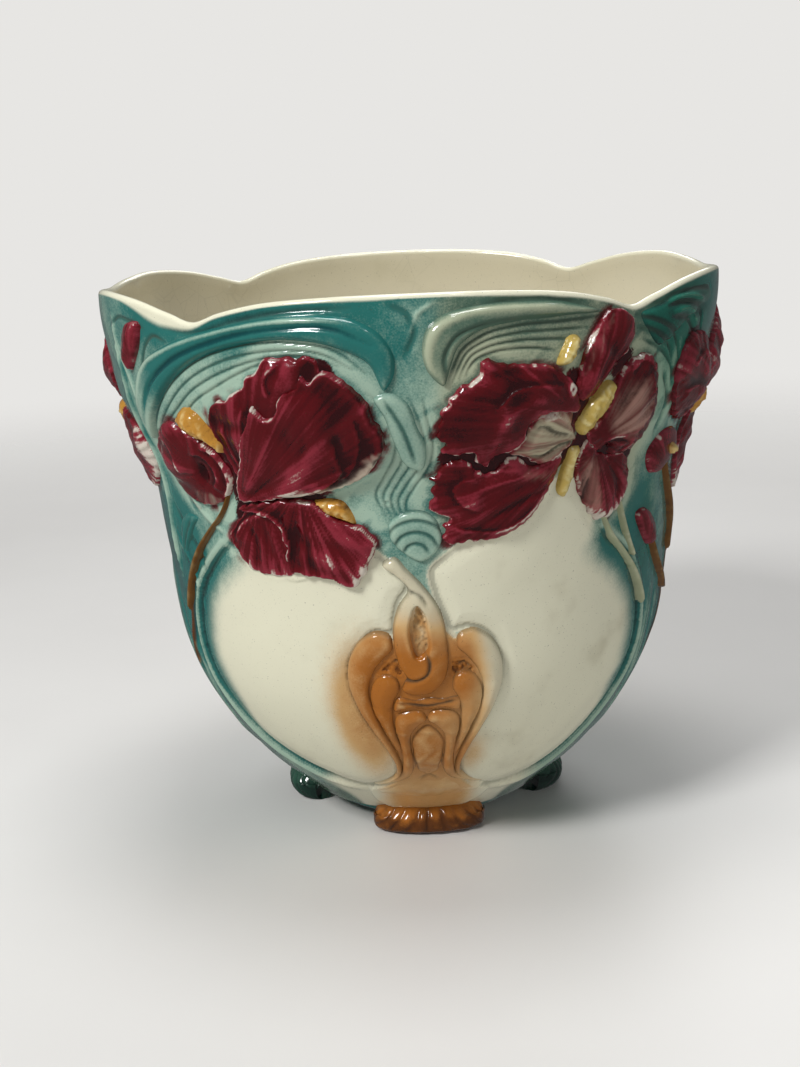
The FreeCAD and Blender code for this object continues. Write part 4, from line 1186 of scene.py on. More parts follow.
class CACHEPOT_OT_left_iris(bpy.types.Operator):
    """Builds the iris to the left of the middle: petals, falls, beards and stem"""

    bl_idname = "cachepot.left_iris"
    bl_label = "Left iris"

    def execute(self, context):
        upper_beard = [
            (-46.2, 52), (-44, 46.5), (-41, 47.5), (-38.4, 54), (-36, 63.5), (-36.8, 66), (-39.5, 61.5),
            (-44, 58),
        ]
        lower_beard = [
            (-20, 84.2), (-17, 83.3), (-14.3, 84.5), (-12.6, 90), (-12, 95), (-14.5, 93.5), (-17.8, 90.5),
        ]
        lay("left_iris_beards", "ochre_glaze", beard(upper_beard, 4), beard(lower_beard, 8))
        self.front()
        self.side()
        self.falls()
        self.behind()
        path = [(-39, 84), (-42, 94), (-46.5, 103.5), (-52, 115), (-57, 128), (-60.5, 141), (-63, 154)]
        lay("left_iris_stems", "brown_glaze", stem(path, 2.5, 6))
        return {"FINISHED"}

    def front(self):
        node = "left_iris_front_petals"
        made = petal(
            node, 4.0, millimetres("petal_relief"), 10, (-36, 172),
            folds=(3, 0.6), veins=(40, 0.20), waves=46, size=0.3, seed=3, pale=0.85,
        )
        made.crease(
            [(-27, 180), (-20.5, 181.5), (-16, 186), (-13.2, 193), (-13.6, 199), (-13.8, 206)],
            1.7, 6, 0.35,
        )
        made.crease([(-16.5, 186), (-12.5, 190), (-10.5, 197), (-9.5, 206), (-10.5, 216)], 0.7, 5, 0.25)
        made.stroke([(-34, 180), (-29, 192), (-26, 205), (-24.5, 213)], 3.0, 0.7, 0.12)
        made.stroke([(-33, 179), (-25, 188), (-20, 199), (-18, 214)], 2.2, -0.7, -0.12)
        made.hill(-13.4, 205, 2.4, -1.6, -0.28, 1.8)
        made.hill(-13.5, 222, 5.5, -0.8, -0.18, 1.4)
        made.hill(-20, 193, 7, 0.9, 0.14, 0.8)
        made.hill(-21, 215, 6, 1.2, 0.02, 1.2)
        made.fade_in([
            (-24, 180), (-18, 184), (-13, 189), (-9.5, 195), (-7.5, 200), (-4.5, 199), (-5, 190),
            (-10, 183), (-18, 178.5), (-25, 177),
        ], 4, 0.7, (-36, 172))
        right_edge = smoothstep(-13, -10, made.azimuth) * smoothstep(190, 198, made.z)
        made.tone -= 0.6 * right_edge * bell(made.depth - 0.5, 0.9)
        lay(node, "burgundy_glaze", made)

    def side(self):
        node = "left_iris_side_petals"
        made = petal(
            node, 1.4, millimetres("petal_relief"), 9, (-42, 187),
            folds=(3, 0.4), veins=(20, 0.16), waves=20, size=0.4, seed=8,
        )
        made.hill(-43.6, 187, 3.0, -3.8, -0.5, 1.4)
        made.crease(
            [(-45.5, 195.5), (-42.2, 195), (-40.4, 190.5), (-40.2, 185), (-42, 179.5)], 1.2, 4, 0.55
        )
        made.crease([(-43, 199), (-39.8, 196), (-38.2, 189), (-38.4, 181), (-40.5, 175.5)], 0.9, 4, 0.55)
        made.crease([(-54.5, 203), (-51.5, 198), (-50.5, 191), (-50, 184)], 0.9, 6, 0.35)
        made.fade_in([(-49, 171), (-42, 170), (-39, 174), (-43, 178), (-48, 177)], 3, 0.4, (-42, 187))
        lay(node, "burgundy_glaze", made)

    def falls(self):
        node = "left_iris_falls"
        made = petal(
            node, 3.6, 5.2, 8, (-22, 184),
            folds=(5, 0.6), veins=(44, 0.28), waves=22, size=0.6, seed=12,
        )
        made.crease([(-26.3, 148), (-25.4, 157), (-26.2, 165), (-28.5, 170.5), (-33, 172.5)], 1.3, 5, 0.5)
        made.stroke([(-20, 172), (-18, 160), (-16.5, 148)], 2.0, 0.7, 0.12)
        made.stroke([(-23.5, 168), (-22, 157), (-21.5, 147)], 1.6, -0.8, -0.2)
        made.tips(-22, 184, 39, 48, 0.2)
        made.hill(-17, 158, 10, 0.5, 0.20, 1.2)
        lay(node, "burgundy_glaze", made)
        node = "left_iris_fold_petals"
        made = petal(
            node, 1.4, millimetres("back_petal_relief"), 6, (-31, 180),
            folds=(5, 0.6), veins=(36, 0.28), waves=16, size=0.5, seed=15,
        )
        made.crease([(-30, 171), (-34, 168.5), (-37.5, 163), (-39, 156)], 1.0, 5, 0.5)
        made.stroke([(-34.5, 164), (-33, 155), (-33.5, 147)], 1.6, -0.8, -0.2)
        made.stroke([(-30, 165), (-29, 155), (-29.5, 146)], 1.8, 0.6, 0.14)
        made.tips(-31, 180, 31, 39, 0.26)
        made.hill(-31, 152, 6, 0.4, 0.14, 1.2)
        lay(node, "burgundy_glaze", made)

    def behind(self):
        node = "left_iris_back_petals"
        made = petal(
            node, 1.3, millimetres("back_petal_relief"), 6, (-33, 178),
            folds=(4, 0.5), veins=(34, 0.2), waves=30, size=0.3, seed=18,
        )
        made.hill(-17.5, 233.5, 4.0, -0.6, -0.4, 1.1)
        made.crease([(-33.5, 186), (-34.2, 198), (-34.6, 212)], 0.9, 4, 0.4)
        made.crease([(-24, 222), (-24.5, 229), (-22, 235.5)], 0.8, 4, 0.35)
        made.crease([(-30, 196), (-30.5, 208), (-29, 219)], 0.8, 4, 0.3)
        lay(node, "burgundy_glaze", made)


class CACHEPOT_OT_right_iris(bpy.types.Operator):
    """Builds the iris to the right of the middle: petals, bud, beards and stems"""

    bl_idname = "cachepot.right_iris"
    bl_label = "Right iris"

    def execute(self, context):
        top_beard = [(23.2, 31.5), (24, 25), (25.8, 19.5), (27.4, 20.5), (27, 26), (25.3, 32)]
        long_beard = [
            (28, 58), (28.8, 51), (31, 44), (33.5, 39.5), (35.2, 41), (34.8, 48), (32.5, 56),
            (29.5, 62.5),
        ]
        low_beard = [
            (28, 66.5), (30.2, 66.5), (30.1, 75), (29.4, 85), (28.2, 90), (26.8, 88), (26.7, 80),
            (27.3, 73),
        ]
        outlines = (top_beard, long_beard, low_beard)
        beards = [beard(points, number) for number, points in enumerate(outlines)]
        lay("right_iris_beards", "ochre_glaze", *beards, shade="mustard")
        self.upper()
        self.lower()
        self.right()
        stems = []
        for path in (
            [(38.5, 100), (41.5, 110), (46, 120), (51, 131), (55, 143), (58, 156)],
            [(43.5, 97), (45.2, 106), (47.5, 116), (51, 127)],
        ):
            stems.append(stem(path, 3, 4.5))
        lay("right_iris_stems", "pale_green_glaze", *stems)
        return {"FINISHED"}

    def upper(self):
        node = "right_iris_upper_petals"
        made = petal(
            node, 1.7, millimetres("petal_relief"), 9, (28, 210),
            folds=(3, 0.6), veins=(36, 0.2), waves=40, size=0.3, seed=21,
        )
        made.crease([(25, 222), (20, 224.5), (15, 222), (12, 215)], 1.2, 7, 0.2)
        # The ridge along the fold's arc, painted pale as its highlight over glaze run thin on the crest
        made.stroke([(22, 219), (17, 216), (13.5, 209), (13, 199)], 2.4, 0.8, 0.28)
        made.stroke([(24, 226), (17, 230), (11, 229)], 1.6, -0.8, -0.15)
        made.crease([(10.5, 232), (9, 227), (6, 222)], 0.8, 4, 0.35)
        made.hill(25.9, 221, 1.9, 2.0, 0.9, 1.4)
        made.hill(25.9, 221, 0.8, -1.4, -0.7, 1.4)
        made.teeth(31, 0.6, 0, 13)
        made.tone -= 0.16 * smoothstep(2, 7, made.depth)
        lay(node, "burgundy_glaze", made, fade_to="cream_pooled")
        node = "right_iris_heart_petals"
        made = petal(
            node, 1.0, 2.6, 6, (29, 199),
            folds=(5, 0.5), veins=(24, 0.3), waves=18, size=0.4, seed=24,
        )
        bright = [
            (29.5, 200), (27, 213), (22, 211), (19.5, 206), (18, 200), (16.5, 196), (19.5, 193),
            (23, 189.5), (27, 193),
        ]
        made.fade_in(bright, 2.5, 0.9, (30, 199))
        made.stroke([(29, 198), (25.2, 196.8), (22.5, 194), (20, 193.5)], 0.7, -1.0, -0.5, 0.35)
        made.stroke([(27.5, 201), (24, 203), (21, 206.5), (19.5, 204)], 0.9, -0.8, -0.3, 0.2)
        made.stroke([(26.5, 207), (24, 210), (21.5, 209)], 1.2, 0.7, 0.2)
        made.stroke([(27.5, 195.5), (24.5, 191.5), (21.5, 191)], 1.0, 0.7, 0.25)
        lay(node, "burgundy_glaze", made, fade_to="cream_pooled")

    def lower(self):
        node = "right_iris_lower_petals"
        made = petal(
            node, 1.7, millimetres("petal_relief"), 9, (28, 193),
            folds=(3, 0.6), veins=(40, 0.24), waves=40, size=0.3, seed=27,
        )
        made.crease([(11, 186), (8, 187), (6, 183), (7, 177), (11, 172)], 1.0, 6, 0.06)
        made.stroke([(24, 186), (17, 185), (11, 181), (8, 175)], 2.2, 0.7, 0.14)
        made.stroke([(25, 180), (18, 174), (12, 168), (9, 164)], 1.6, -0.8, -0.18)
        made.crease([(22.5, 174), (18.6, 166), (13.7, 162.6), (9, 164), (5.5, 166)], 0.8, 4, 0.35)
        made.teeth(31, 0.6, 0, 12)
        made.tone -= 0.10 * smoothstep(2, 7, made.depth)
        made.fade_in(
            [(25.5, 189), (22, 187.5), (19, 189), (18, 187), (21, 183), (24.5, 184)], 5, 0.6, (29, 196)
        )
        lay(node, "burgundy_glaze", made, fade_to="cream_pooled")

    def right(self):
        node = "right_iris_bud_petals"
        made = petal(
            node, 1.6, 6.0, 7, (28.5, 213),
            folds=(3, 0.5), veins=(26, 0.25), waves=14, size=0.3, seed=31,
        )
        made.stroke([(32, 222), (34, 233), (36, 243)], 2.2, 0.6, 0.08)
        made.fade_in(
            [(28.2, 226), (29.2, 236), (31.5, 245), (33.5, 248), (32, 240), (30.5, 231)],
            2.5, 0.5, (28.5, 213),
        )
        made.crease([(37, 236), (34.5, 228), (31, 220)], 0.8, 4, 0.25)
        lay(node, "burgundy_glaze", made)
        node = "right_iris_side_petals"
        made = petal(
            node, 1.4, millimetres("petal_relief"), 7, (33, 198),
            folds=(5, 0.6), veins=(30, 0.34), waves=22, size=0.5, seed=34,
        )
        made.hill(39.5, 207, 8, 0.6, 0.12, 1.4)
        made.fade_in([
            (36, 216), (40, 222), (44, 214), (44.5, 203), (41.5, 197), (37, 199), (34.5, 206),
        ], 6, 0.85, (33, 198))
        made.hill(36.3, 191.5, 2.6, -2.8, -0.5, 1.4)
        made.crease([(44, 197), (45.3, 206), (44.6, 216), (42.6, 225)], 1.0, 4, 0.3)
        made.crease([(34, 196), (37.5, 198.5), (40.5, 195), (40, 189)], 0.9, 4, 0.45)
        made.crease([(37.6, 224), (41, 228.5), (44, 222)], 0.7, 3, 0.3)
        made.tone -= 0.06
        lay(node, "burgundy_glaze", made, fade_to="blush")
        node = "right_iris_curl_petals"
        made = petal(
            node, 1.4, 5.0, 7, (34, 196),
            folds=(5, 0.8), veins=(30, 0.3), waves=18, size=0.7, seed=37,
        )
        made.crease([(37, 160), (34, 164), (32.2, 172), (31.6, 182)], 1.1, 5, 0.5)
        made.stroke([(38, 186), (40, 178), (40.5, 168)], 1.8, -0.9, -0.2)
        made.tips(34, 196, 30, 38, 0.45)
        made.fade_in(
            [(31.5, 190), (34, 190), (36, 178), (37.5, 164), (34, 164), (32, 174)], 4, 0.7, (34, 196)
        )
        made.tone -= 0.06
        lay(node, "burgundy_glaze", made, fade_to="blush")


class CACHEPOT_OT_side_spray(bpy.types.Operator):
    """Builds the iris and the buds on each side of the pot"""

    bl_idname = "cachepot.side_spray"
    bl_label = "Side spray"

    def execute(self, context):
        left_beard = [(70, 55), (73, 53), (76, 57), (75, 64), (72, 69), (70, 64)]
        right_beard = [(92, 58), (95, 54), (98, 56), (98, 64), (96, 71), (93, 66)]
        bud_beard = [(57.5, 76), (60, 74.5), (61.5, 78), (59, 82)]
        outlines = (left_beard, right_beard, bud_beard)
        beards = [beard(points, number) for number, points in enumerate(outlines)]
        beards[2].height += 2.8
        lay("side_spray_beards", "ochre_glaze", *beards)
        node = "side_spray_top_petals"
        made = petal(
            node, 1.6, millimetres("petal_relief"), 10, (84, 200),
            folds=(5, 0.8), veins=(40, 0.22), waves=28, size=0.7, seed=41, pale=0.25,
        )
        made.stroke([(84, 205), (82.5, 217), (84, 229), (86, 236)], 2.2, 0.7, 0.15)
        made.crease([(79, 206), (76.5, 216), (79, 229)], 1.1, 5, 0.35)
        made.crease([(90, 230), (93, 220), (91, 208)], 1.1, 5, 0.35)
        lay(node, "burgundy_glaze", made)
        node = "side_spray_left_petals"
        made = petal(
            node, 1.5, millimetres("petal_relief"), 9, (71, 206),
            folds=(5, 0.8), veins=(32, 0.22), waves=24, size=0.7, seed=44, pale=0.25,
        )
        made.crease([(66, 222), (60, 227), (56, 222)], 0.9, 5, 0.4)
        made.crease([(68, 209), (62, 212), (56, 211)], 1.1, 5, 0.35)
        lay(node, "burgundy_glaze", made)
        node = "side_spray_right_petals"
        made = petal(
            node, 1.5, millimetres("petal_relief"), 9, (96, 196),
            folds=(5, 0.8), veins=(32, 0.22), waves=24, size=0.7, seed=47, pale=0.25,
        )
        made.stroke([(100, 198), (106, 194), (111, 187)], 2.0, 0.7, 0.16)
        made.crease([(99, 190), (104, 184), (106, 175)], 1.1, 5, 0.35)
        made.tips(96, 196, 32, 42, 0.4)
        lay(node, "burgundy_glaze", made)
        node = "side_spray_falls"
        made = petal(
            node, 1.6, 5.6, 10, (84, 206),
            folds=(6, 0.9), veins=(44, 0.26), waves=28, size=0.8, seed=50, pale=0.25,
        )
        made.stroke([(84, 200), (83, 185), (83, 168)], 2.2, 0.7, 0.15)
        made.crease([(77, 166), (76, 181), (78, 196)], 1.2, 5, 0.35)
        made.crease([(90, 196), (91, 181), (88, 167)], 1.2, 5, 0.35)
        made.tips(84, 206, 36, 48, 0.5)
        lay(node, "burgundy_glaze", made)
        buds = []
        for number, points in enumerate((
            [(51.5, 77), (54, 71.5), (59, 69.5), (64, 73), (65.5, 79), (63, 86), (58, 90), (54, 88.5)],
            [(50.5, 105), (53.5, 104), (57, 109), (60, 118), (60.5, 123), (58, 124), (54, 118)],
            [(124.5, 12), (127.5, 12.5), (127, 20), (124.5, 28), (121, 34), (119.5, 30), (121.5, 20)],
        )):
            azimuth, drop = np.mean(points, axis=0)
            throat = (azimuth, DRAWN_HEIGHT - drop - 9)
            made = Patch(hung(points))
            made.dome(1.4, 5.0, 5)
            made.veins(*throat, 14, 0.25, 53 + number)
            made.lip(0.8, 0.4, 0.4, 57 + number)
            buds.append(made)
        lay("side_spray_buds", "burgundy_glaze", *buds)
        stems = []
        for path in (
            [(61, 86), (65.5, 98), (70.5, 110), (76, 125), (80, 142)],
            [(58.5, 121), (63, 132), (69, 143), (77, 157)],
        ):
            stems.append(stem(path, 3, 6))
        lay("side_spray_stems", "brown_glaze", *stems)
        return {"FINISHED"}


class CACHEPOT_OT_leaves(bpy.types.Operator):
    """Builds the fan, drop and reed leaves"""

    bl_idname = "cachepot.leaves"
    bl_label = "Leaves"

    def execute(self, context):
        relief = millimetres("leaf_relief")
        fan = Patch(hung([
            (0, 112), (-3.5, 108), (-6, 101), (-6, 95), (-4, 90.5), (-1, 88.5), (1.5, 90), (3.5, 95),
            (4.2, 101), (3, 108),
        ]))
        fan.dome(1.2, relief, 3)
        for radius in (6, 11, 16, 20):
            turns = (-1.3, -0.6, 0, 0.6, 1.3)
            arc = [(-1 + math.sin(turn) * radius * 0.42, 153 + math.cos(turn) * radius) for turn in turns]
            fan.stroke(arc, 0.7, -0.8, -0.15, 0.6)
        fan.tone += 0.34
        lay("fan_leaves", "teal_glaze", fan)
        drop = Patch(hung([
            (-6.8, 40), (-4, 38), (-1.5, 42), (0, 52), (1.5, 62), (0.5, 72), (-2, 70), (-4, 60),
            (-5.3, 49),
        ]))
        drop.dome(1.2, relief, 3)
        drop.stroke([(-5, 221), (-2.5, 210), (-0.5, 195)], 0.8, -0.8, -0.15, 0.6)
        drop.tone += 0.32
        lay("drop_leaves", "teal_glaze", drop)
        reed = Patch(
            hung([(-50, 99), (-55, 97), (-59, 102), (-61, 114), (-61.5, 130), (-58, 121), (-53, 108)])
        )
        reed.dome(0.3, 2.0, 4)
        reed.soft = 3.5
        for shift in (-1.6, 0.2, 2.0):
            reed.stroke(
                [(-52 + shift, 161), (-56 + shift, 150), (-60 + shift * 0.5, 137)], 0.8, -0.8, -0.2, 0.4
            )
        lay("reed_leaves", "teal_glaze", reed)
        return {"FINISHED"}


class CACHEPOT_OT_scrolls(bpy.types.Operator):
    """Builds the scroll bands, corner swirls and corner ribs under the rim"""

    bl_idname = "cachepot.scrolls"
    bl_label = "Scrolls"

    def execute(self, context):
        relief = millimetres("band_relief")
        left = Patch(hung([
            (-59, 66), (-60, 52), (-57, 38), (-52, 27), (-45, 19.5), (-35, 13), (-25, 8.5), (-15, 6.5),
            (-9, 9), (-5, 15), (-3, 24), (-3.2, 32), (-5, 38), (-7.5, 27), (-12, 21), (-20, 17.5),
            (-28, 19), (-37, 25), (-44, 34), (-50, 45), (-55, 56),
        ]))
        left.dome(1.4, relief, 3.5)
        left.soft = 2.2
        left.stroke(
            [(-58, 206), (-52, 222), (-44, 235), (-34, 244), (-22, 249.5), (-12, 249), (-6.5, 243)],
            1.3, -1.2,
        )
        left.stroke(
            [(-58.5, 214), (-53, 230), (-44, 240.5), (-34, 247.5), (-22, 252.5), (-12, 252.5)], 1.2, 0.7
        )
        left.tone += 0.40 * smoothstep(-47, -57, left.azimuth) - 0.14 * bell(left.azimuth + 36, 10)
        lay("left_scroll_bands", "teal_glaze", left)
        right = Patch(hung([
            (4.5, 37), (1.8, 31), (0.9, 22), (1.8, 13), (4.5, 8), (9, 5.5), (16, 5), (25, 6.5), (33, 12),
            (24, 13), (16, 13.5), (10, 16.5), (7, 22), (5.8, 29),
        ]))
        right.dome(1.4, relief, 3.5)
        right.soft = 2.2
        groove = [(4.9, 228), (4.6, 238), (6.2, 244.5), (10, 248.6), (16, 250.3), (25, 250.2), (31, 249.8)]
        right.stroke(groove, 0.8, -1.0, -0.2, 0.4)
        right.stroke(
            [(2.6, 230), (2.0, 239), (3.2, 247), (7, 252.5), (14, 254.8), (24, 254)], 1.8, 0.9, 0.22
        )
        right.tone += 0.10 + 0.10 * smoothstep(8, 3, right.azimuth)
        lay("right_scroll_bands", "teal_glaze", right, shade="sage")
        swirl = Patch(hung(CORNER_SWIRL))
        swirl.dome(0.8, relief, 6)
        swirl.height *= 1 - 0.6 * smoothstep(55, 64, swirl.azimuth)
        swirl.soft = 2.0
        swirl.tone -= 0.26
        for points, rise in CORNER_ARCS:
            swirl.stroke(points, 0.9, rise, 0.30 * np.sign(rise), 0.4 * (rise < 0))
        lay("corner_swirls", "teal_glaze", swirl, shade="emerald")
        rib = Patch(
            hung([(-62.5, 11), (-63.6, 36), (-64.3, 62), (-64, 88), (-64.6, 114), (-67, 152)]), (5.0, 6.0)
        )
        rib.dome(0.6, 2.0, 1.4)
        rib.depth -= 3.2 * smoothstep(0.7, 1.0, rib.share) + 1.8 * smoothstep(0.15, 0.0, rib.share)
        rib.soft = 2.8
        rib.flank = 0.5
        rib.tone += 0.16 + 0.2 * wander(rib.share * 18, 4)
        lay("corner_ribs", "pale_green_glaze", rib, shade="teal")
        return {"FINISHED"}


class CACHEPOT_OT_cartouche(bpy.types.Operator):
    """Builds the strapwork cartouche in the middle of each face"""

    bl_idname = "cachepot.cartouche"
    bl_label = "Cartouche"

    def strap(self, points, crown=None, edge=1.8, seed=1, run=3.0):
        made = Patch(points)
        made.depth += 0.8
        made.dome(edge, crown or millimetres("strap_relief"), run)
        made.soft = 1.1
        made.grain(7, 0.25, seed)
        made.tone += 0.16 * smoothstep(1, 4, made.depth) - 0.08
        made.fade = 1 - amber_strength(made.azimuth, made.z)
        made.outlined(0.6)
        return made

    def merged(self, points, low, high, crown=None, seed=1):
        """A strap whose lower end sinks into the ground"""
        made = self.strap(points, crown, seed=seed)
        share = smoothstep(low, high, made.z)
        made.height *= 0.25 + 0.75 * share
        made.line *= share
        made.flank = 0.5
        return made

    def pair(self, points, low, high):
        """A strap and its mirror image"""
        return [self.merged(side, low, high) for side in (points, mirrored(points))]

    def laid(self, node, *straps):
        """Straps whose amber runs out over an ivory ground"""
        lay(node, "amber_glaze", *straps, fade_to="ivory")

    def execute(self, context):
        loop = self.strap([
            (-6, 112), (-5.8, 122), (-4.5, 131), (-2.6, 138), (-5, 145), (-7.3, 149.5), (-5.5, 152),
            (-3.2, 147), (0, 139), (3, 128), (4.3, 116), (4.6, 106), (3.8, 97), (1.2, 91), (-2, 90),
            (-5, 92.5), (-4, 98), (-5.2, 104),
        ])
        loop.cut([(-1.2, 131), (-2.6, 124), (-2.6, 116), (-1.2, 108), (0.2, 110), (0.6, 119), (0, 127)])
        loop.stroke(
            [(0, 111), (0.9, 105), (0.4, 100.5), (-1.4, 97.8), (-3.4, 97.4), (-4.8, 100)],
            0.8, -1.2, -0.2, 0.6,
        )
        loop.stroke([(-2.6, 138.5), (-0.6, 136), (0.8, 131)], 0.8, -0.8, -0.2, 0.5)
        self.laid("cartouche_loops", loop)
        crossbar = self.strap([
            (-7, 82), (-3, 83.5), (0, 82.3), (3, 83.5), (7, 82), (7, 87.5), (3.5, 87), (0.5, 88),
            (-2.2, 87), (-6.2, 88),
        ], 3.2)
        crossbar.stroke([(-6.5, 86.5), (-3, 85.2), (0, 84.6), (3, 85.2), (6.5, 86.5)], 0.7, -0.8, -0.2, 0.5)
        crossbar.tone -= 0.06
        self.laid("cartouche_crossbars", crossbar)
        shoulder = [
            (-12.5, 35.6), (-9.6, 39.6), (-7.4, 44), (-6.6, 50), (-6.3, 57), (-6.6, 65), (-7.2, 73),
            (-6.6, 79), (-4, 81.3), (-1, 80.8), (-0.2, 77.5), (-2, 74), (-3.8, 69), (-4.2, 60),
            (-3.9, 53), (-4.2, 46.5), (-5.6, 41.5), (-8.4, 37.5),
        ]
        self.laid("cartouche_shoulders", *self.pair(shoulder, 34, 47))
        tongue = [(-3.4, 44), (-3.8, 58), (-3.2, 67), (0, 73.5), (3.2, 67), (3.8, 58), (3.4, 44), (0, 42)]
        tongue = self.merged(tongue, 40, 56, 3.0)
        tongue.tone += 0.20
        for sign in (-1, 1):
            tongue.stroke(
                [(sign * 3.9, 62), (sign * 3.7, 55), (sign * 3.1, 49), (sign * 3.4, 43)],
                0.7, -0.9, -0.1, 0.7,
            )
        self.laid("cartouche_tongues", tongue)
        inner = [
            (-6.5, 48), (-8.2, 62), (-9.8, 72), (-11.6, 83), (-11.6, 92), (-10, 98), (-7.7, 99.5),
            (-5.9, 97), (-5.7, 92.5), (-7, 87), (-7.6, 80), (-7.4, 70), (-6, 57),
        ]
        self.laid("cartouche_inner_hooks", *self.pair(inner, 50, 68))
        hook = [
            (-17, 33.4), (-12.6, 36.4), (-9.2, 41.4), (-8.4, 48), (-9.6, 58), (-12.2, 70), (-15, 84),
            (-16.2, 96), (-15.3, 107), (-12.5, 115.5), (-9.5, 118.5), (-7.2, 117), (-6.6, 112),
            (-8.5, 107.5), (-10.8, 101), (-12.2, 92), (-11.6, 82), (-10, 70), (-8, 58), (-7.2, 49),
            (-7.9, 42.5), (-10.4, 37.4), (-14, 34),
        ]
        self.laid("cartouche_left_hooks", self.merged(hook, 34, 48, seed=4))
        self.laid("cartouche_right_hooks", self.merged(mirrored(hook), 34, 48, seed=6))
        pedestal = self.strap([
            (-8, 49), (-9, 42), (-13, 36), (-19, 32), (-20, 26), (-10, 22), (10, 22), (20, 26), (19, 32),
            (13, 36), (9, 42), (8, 49), (4.5, 47), (0, 43), (-4.5, 47),
        ], 2.5, 0.2, run=10)
        pedestal.line[:] = 0
        pedestal.soft = 6.0
        pedestal.flank = 0.5
        for sign in (-1, 1):
            pedestal.stroke([(sign * 3.0, 50), (sign * 0.8, 45.5), (sign * -2.2, 41)], 0.6, -0.8, -0.1, 0.5)
        lay("cartouche_pedestals", "amber_glaze", pedestal)
        return {"FINISHED"}


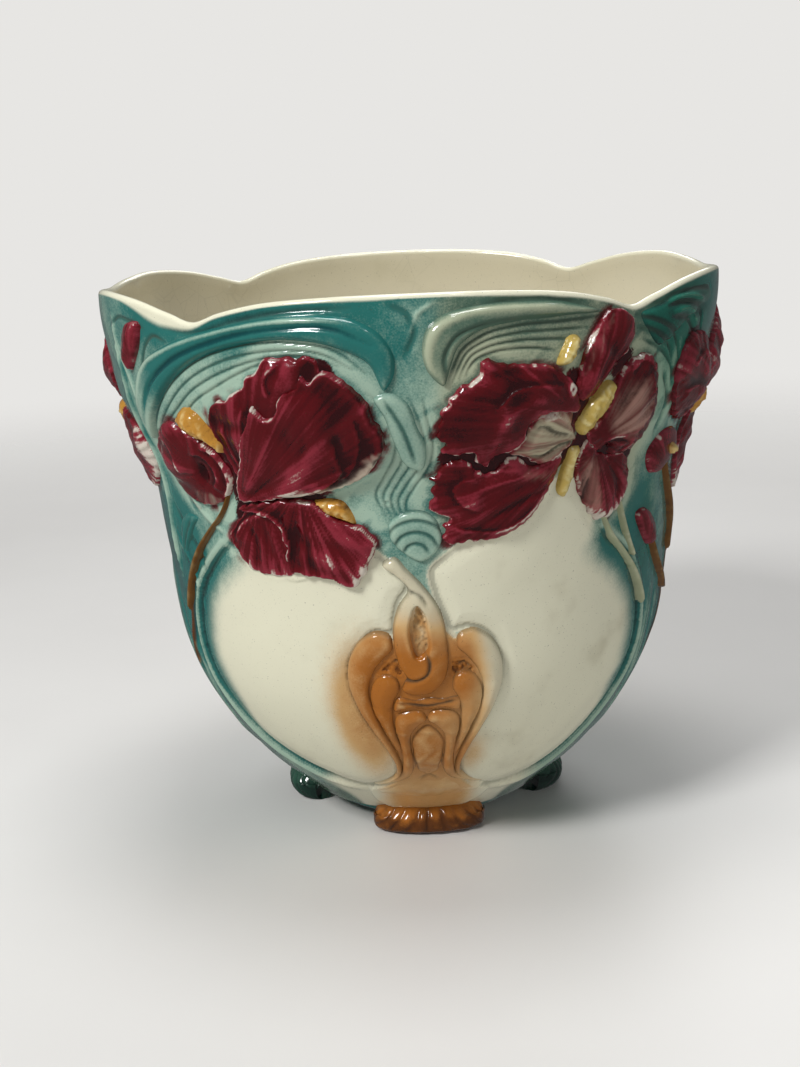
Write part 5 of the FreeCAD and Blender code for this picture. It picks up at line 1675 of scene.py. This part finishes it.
class CACHEPOT_OT_stage(bpy.types.Operator):
    """Builds the pale floor, the soft lamps and the camera"""

    bl_idname = "cachepot.stage"
    bl_label = "Stage"

    def execute(self, context):
        scene = context.scene
        scene.view_settings.view_transform = "Standard"
        self.floor(scene)
        self.sky(scene)
        self.lamp(scene, "key", (-1.1, -1.2, 1.5), 0.5, 34)
        self.lamp(scene, "fill", (1.5, -1.0, 0.7), 1.0, 4.2).visible_glossy = False
        self.lamp(scene, "back", (0.4, 1.5, 1.3), 1.0, 9)
        self.lamp(scene, "top", (0.0, 0.1, 1.7), 0.6, 11)
        for number, where in enumerate(((0.5, -1.2, 1.7), (-0.2, -0.8, 1.9))):
            self.lamp(scene, "spot_%d" % number, where, 0.12, 2).visible_diffuse = False
        data = bpy.data.cameras.new("camera")
        data.lens = 50
        data.sensor_width = 36
        camera = bpy.data.objects.new("camera", data)
        scene.collection.objects.link(camera)
        tilt = Matrix.Rotation(math.radians(90 - CAMERA_DIP), 4, "X")
        roll = Matrix.Rotation(math.radians(CAMERA_ROLL), 4, "Z")
        camera.matrix_world = Matrix.Translation(CAMERA_PLACE) @ tilt @ roll
        scene.camera = camera
        return {"FINISHED"}

    def floor(self, scene):
        mesh = bpy.data.meshes.new("floor")
        mesh.from_pydata([(-8, -8, 0), (8, -8, 0), (8, 8, 0), (-8, 8, 0)], [], [(0, 1, 2, 3)])
        material = bpy.data.materials.new("floor")
        material.use_nodes = True
        material.node_tree.nodes.clear()
        start = Wire(material.node_tree)
        cloud = start.noise(2.5, 4).rise(-0.3, 0.3).between((0.70, 0.69, 0.67, 1), (0.76, 0.75, 0.73, 1))
        where = start.node("ShaderNodeTexCoord", {}, output="Object")
        away = start.node("ShaderNodeVectorMath", {0: where}, output="Value", operation="LENGTH")
        looks = {"Base Color": cloud, "Roughness": 0.45, "Alpha": 1 - away.rise(0.5, 1.5)}
        shader = start.node("ShaderNodeBsdfPrincipled", looks)
        start.node("ShaderNodeOutputMaterial", {"Surface": shader})
        mesh.materials.append(material)
        floor = bpy.data.objects.new("floor", mesh)
        floor.visible_glossy = False
        scene.collection.objects.link(floor)

    def sky(self, scene):
        world = bpy.data.worlds.new("sky")
        scene.world = world
        world.use_nodes = True
        world.node_tree.nodes.clear()
        start = Wire(world.node_tree)
        seen = start.node("ShaderNodeLightPath", {}, output="Is Camera Ray")
        shown = seen.between((0.13, 0.13, 0.13, 1), (0.80, 0.79, 0.77, 1))
        light = start.node("ShaderNodeBackground", {"Color": shown, "Strength": 1.0})
        start.node("ShaderNodeOutputWorld", {"Surface": light})

    def lamp(self, scene, name, where, size, power):
        data = bpy.data.lights.new(name, "AREA")
        data.size = size
        data.energy = power
        lamp = bpy.data.objects.new(name, data)
        lamp.location = where
        lamp.rotation_euler = (Vector((0, 0, 0.14)) - Vector(where)).to_track_quat("-Z", "Y").to_euler()
        scene.collection.objects.link(lamp)
        return lamp


BUILD_STEPS = [
    CACHEPOT_OT_body,
    CACHEPOT_OT_feet,
    CACHEPOT_OT_left_iris,
    CACHEPOT_OT_right_iris,
    CACHEPOT_OT_side_spray,
    CACHEPOT_OT_leaves,
    CACHEPOT_OT_scrolls,
    CACHEPOT_OT_cartouche,
    CACHEPOT_OT_stage,
]


class CACHEPOT_PT_panel(bpy.types.Panel):
    """Lists the sizes, the glazes and the steps that build the pot"""

    bl_label = "Cachepot"
    bl_idname = "CACHEPOT_PT_panel"
    bl_space_type = "VIEW_3D"
    bl_region_type = "UI"
    bl_category = "Cachepot"

    def draw(self, context):
        for group in (context.scene.cachepot_sizes, context.scene.cachepot_glazes):
            for name in group.__annotations__:
                self.layout.prop(group, name)
        for step in BUILD_STEPS:
            self.layout.operator(step.bl_idname)


CLASSES = [CachepotSizes, CachepotGlazes, *BUILD_STEPS, CACHEPOT_PT_panel]


def register():
    for kind in CLASSES:
        bpy.utils.register_class(kind)
    bpy.types.Scene.cachepot_sizes = PointerProperty(type=CachepotSizes)
    bpy.types.Scene.cachepot_glazes = PointerProperty(type=CachepotGlazes)


def unregister():
    del bpy.types.Scene.cachepot_glazes
    del bpy.types.Scene.cachepot_sizes
    for kind in reversed(CLASSES):
        bpy.utils.unregister_class(kind)


def main():
    register()
    bpy.ops.cachepot.body()
    bpy.ops.cachepot.feet()
    bpy.ops.cachepot.left_iris()
    bpy.ops.cachepot.right_iris()
    bpy.ops.cachepot.side_spray()
    bpy.ops.cachepot.leaves()
    bpy.ops.cachepot.scrolls()
    bpy.ops.cachepot.cartouche()
    bpy.ops.cachepot.stage()


if __name__ == "__main__":
    main()
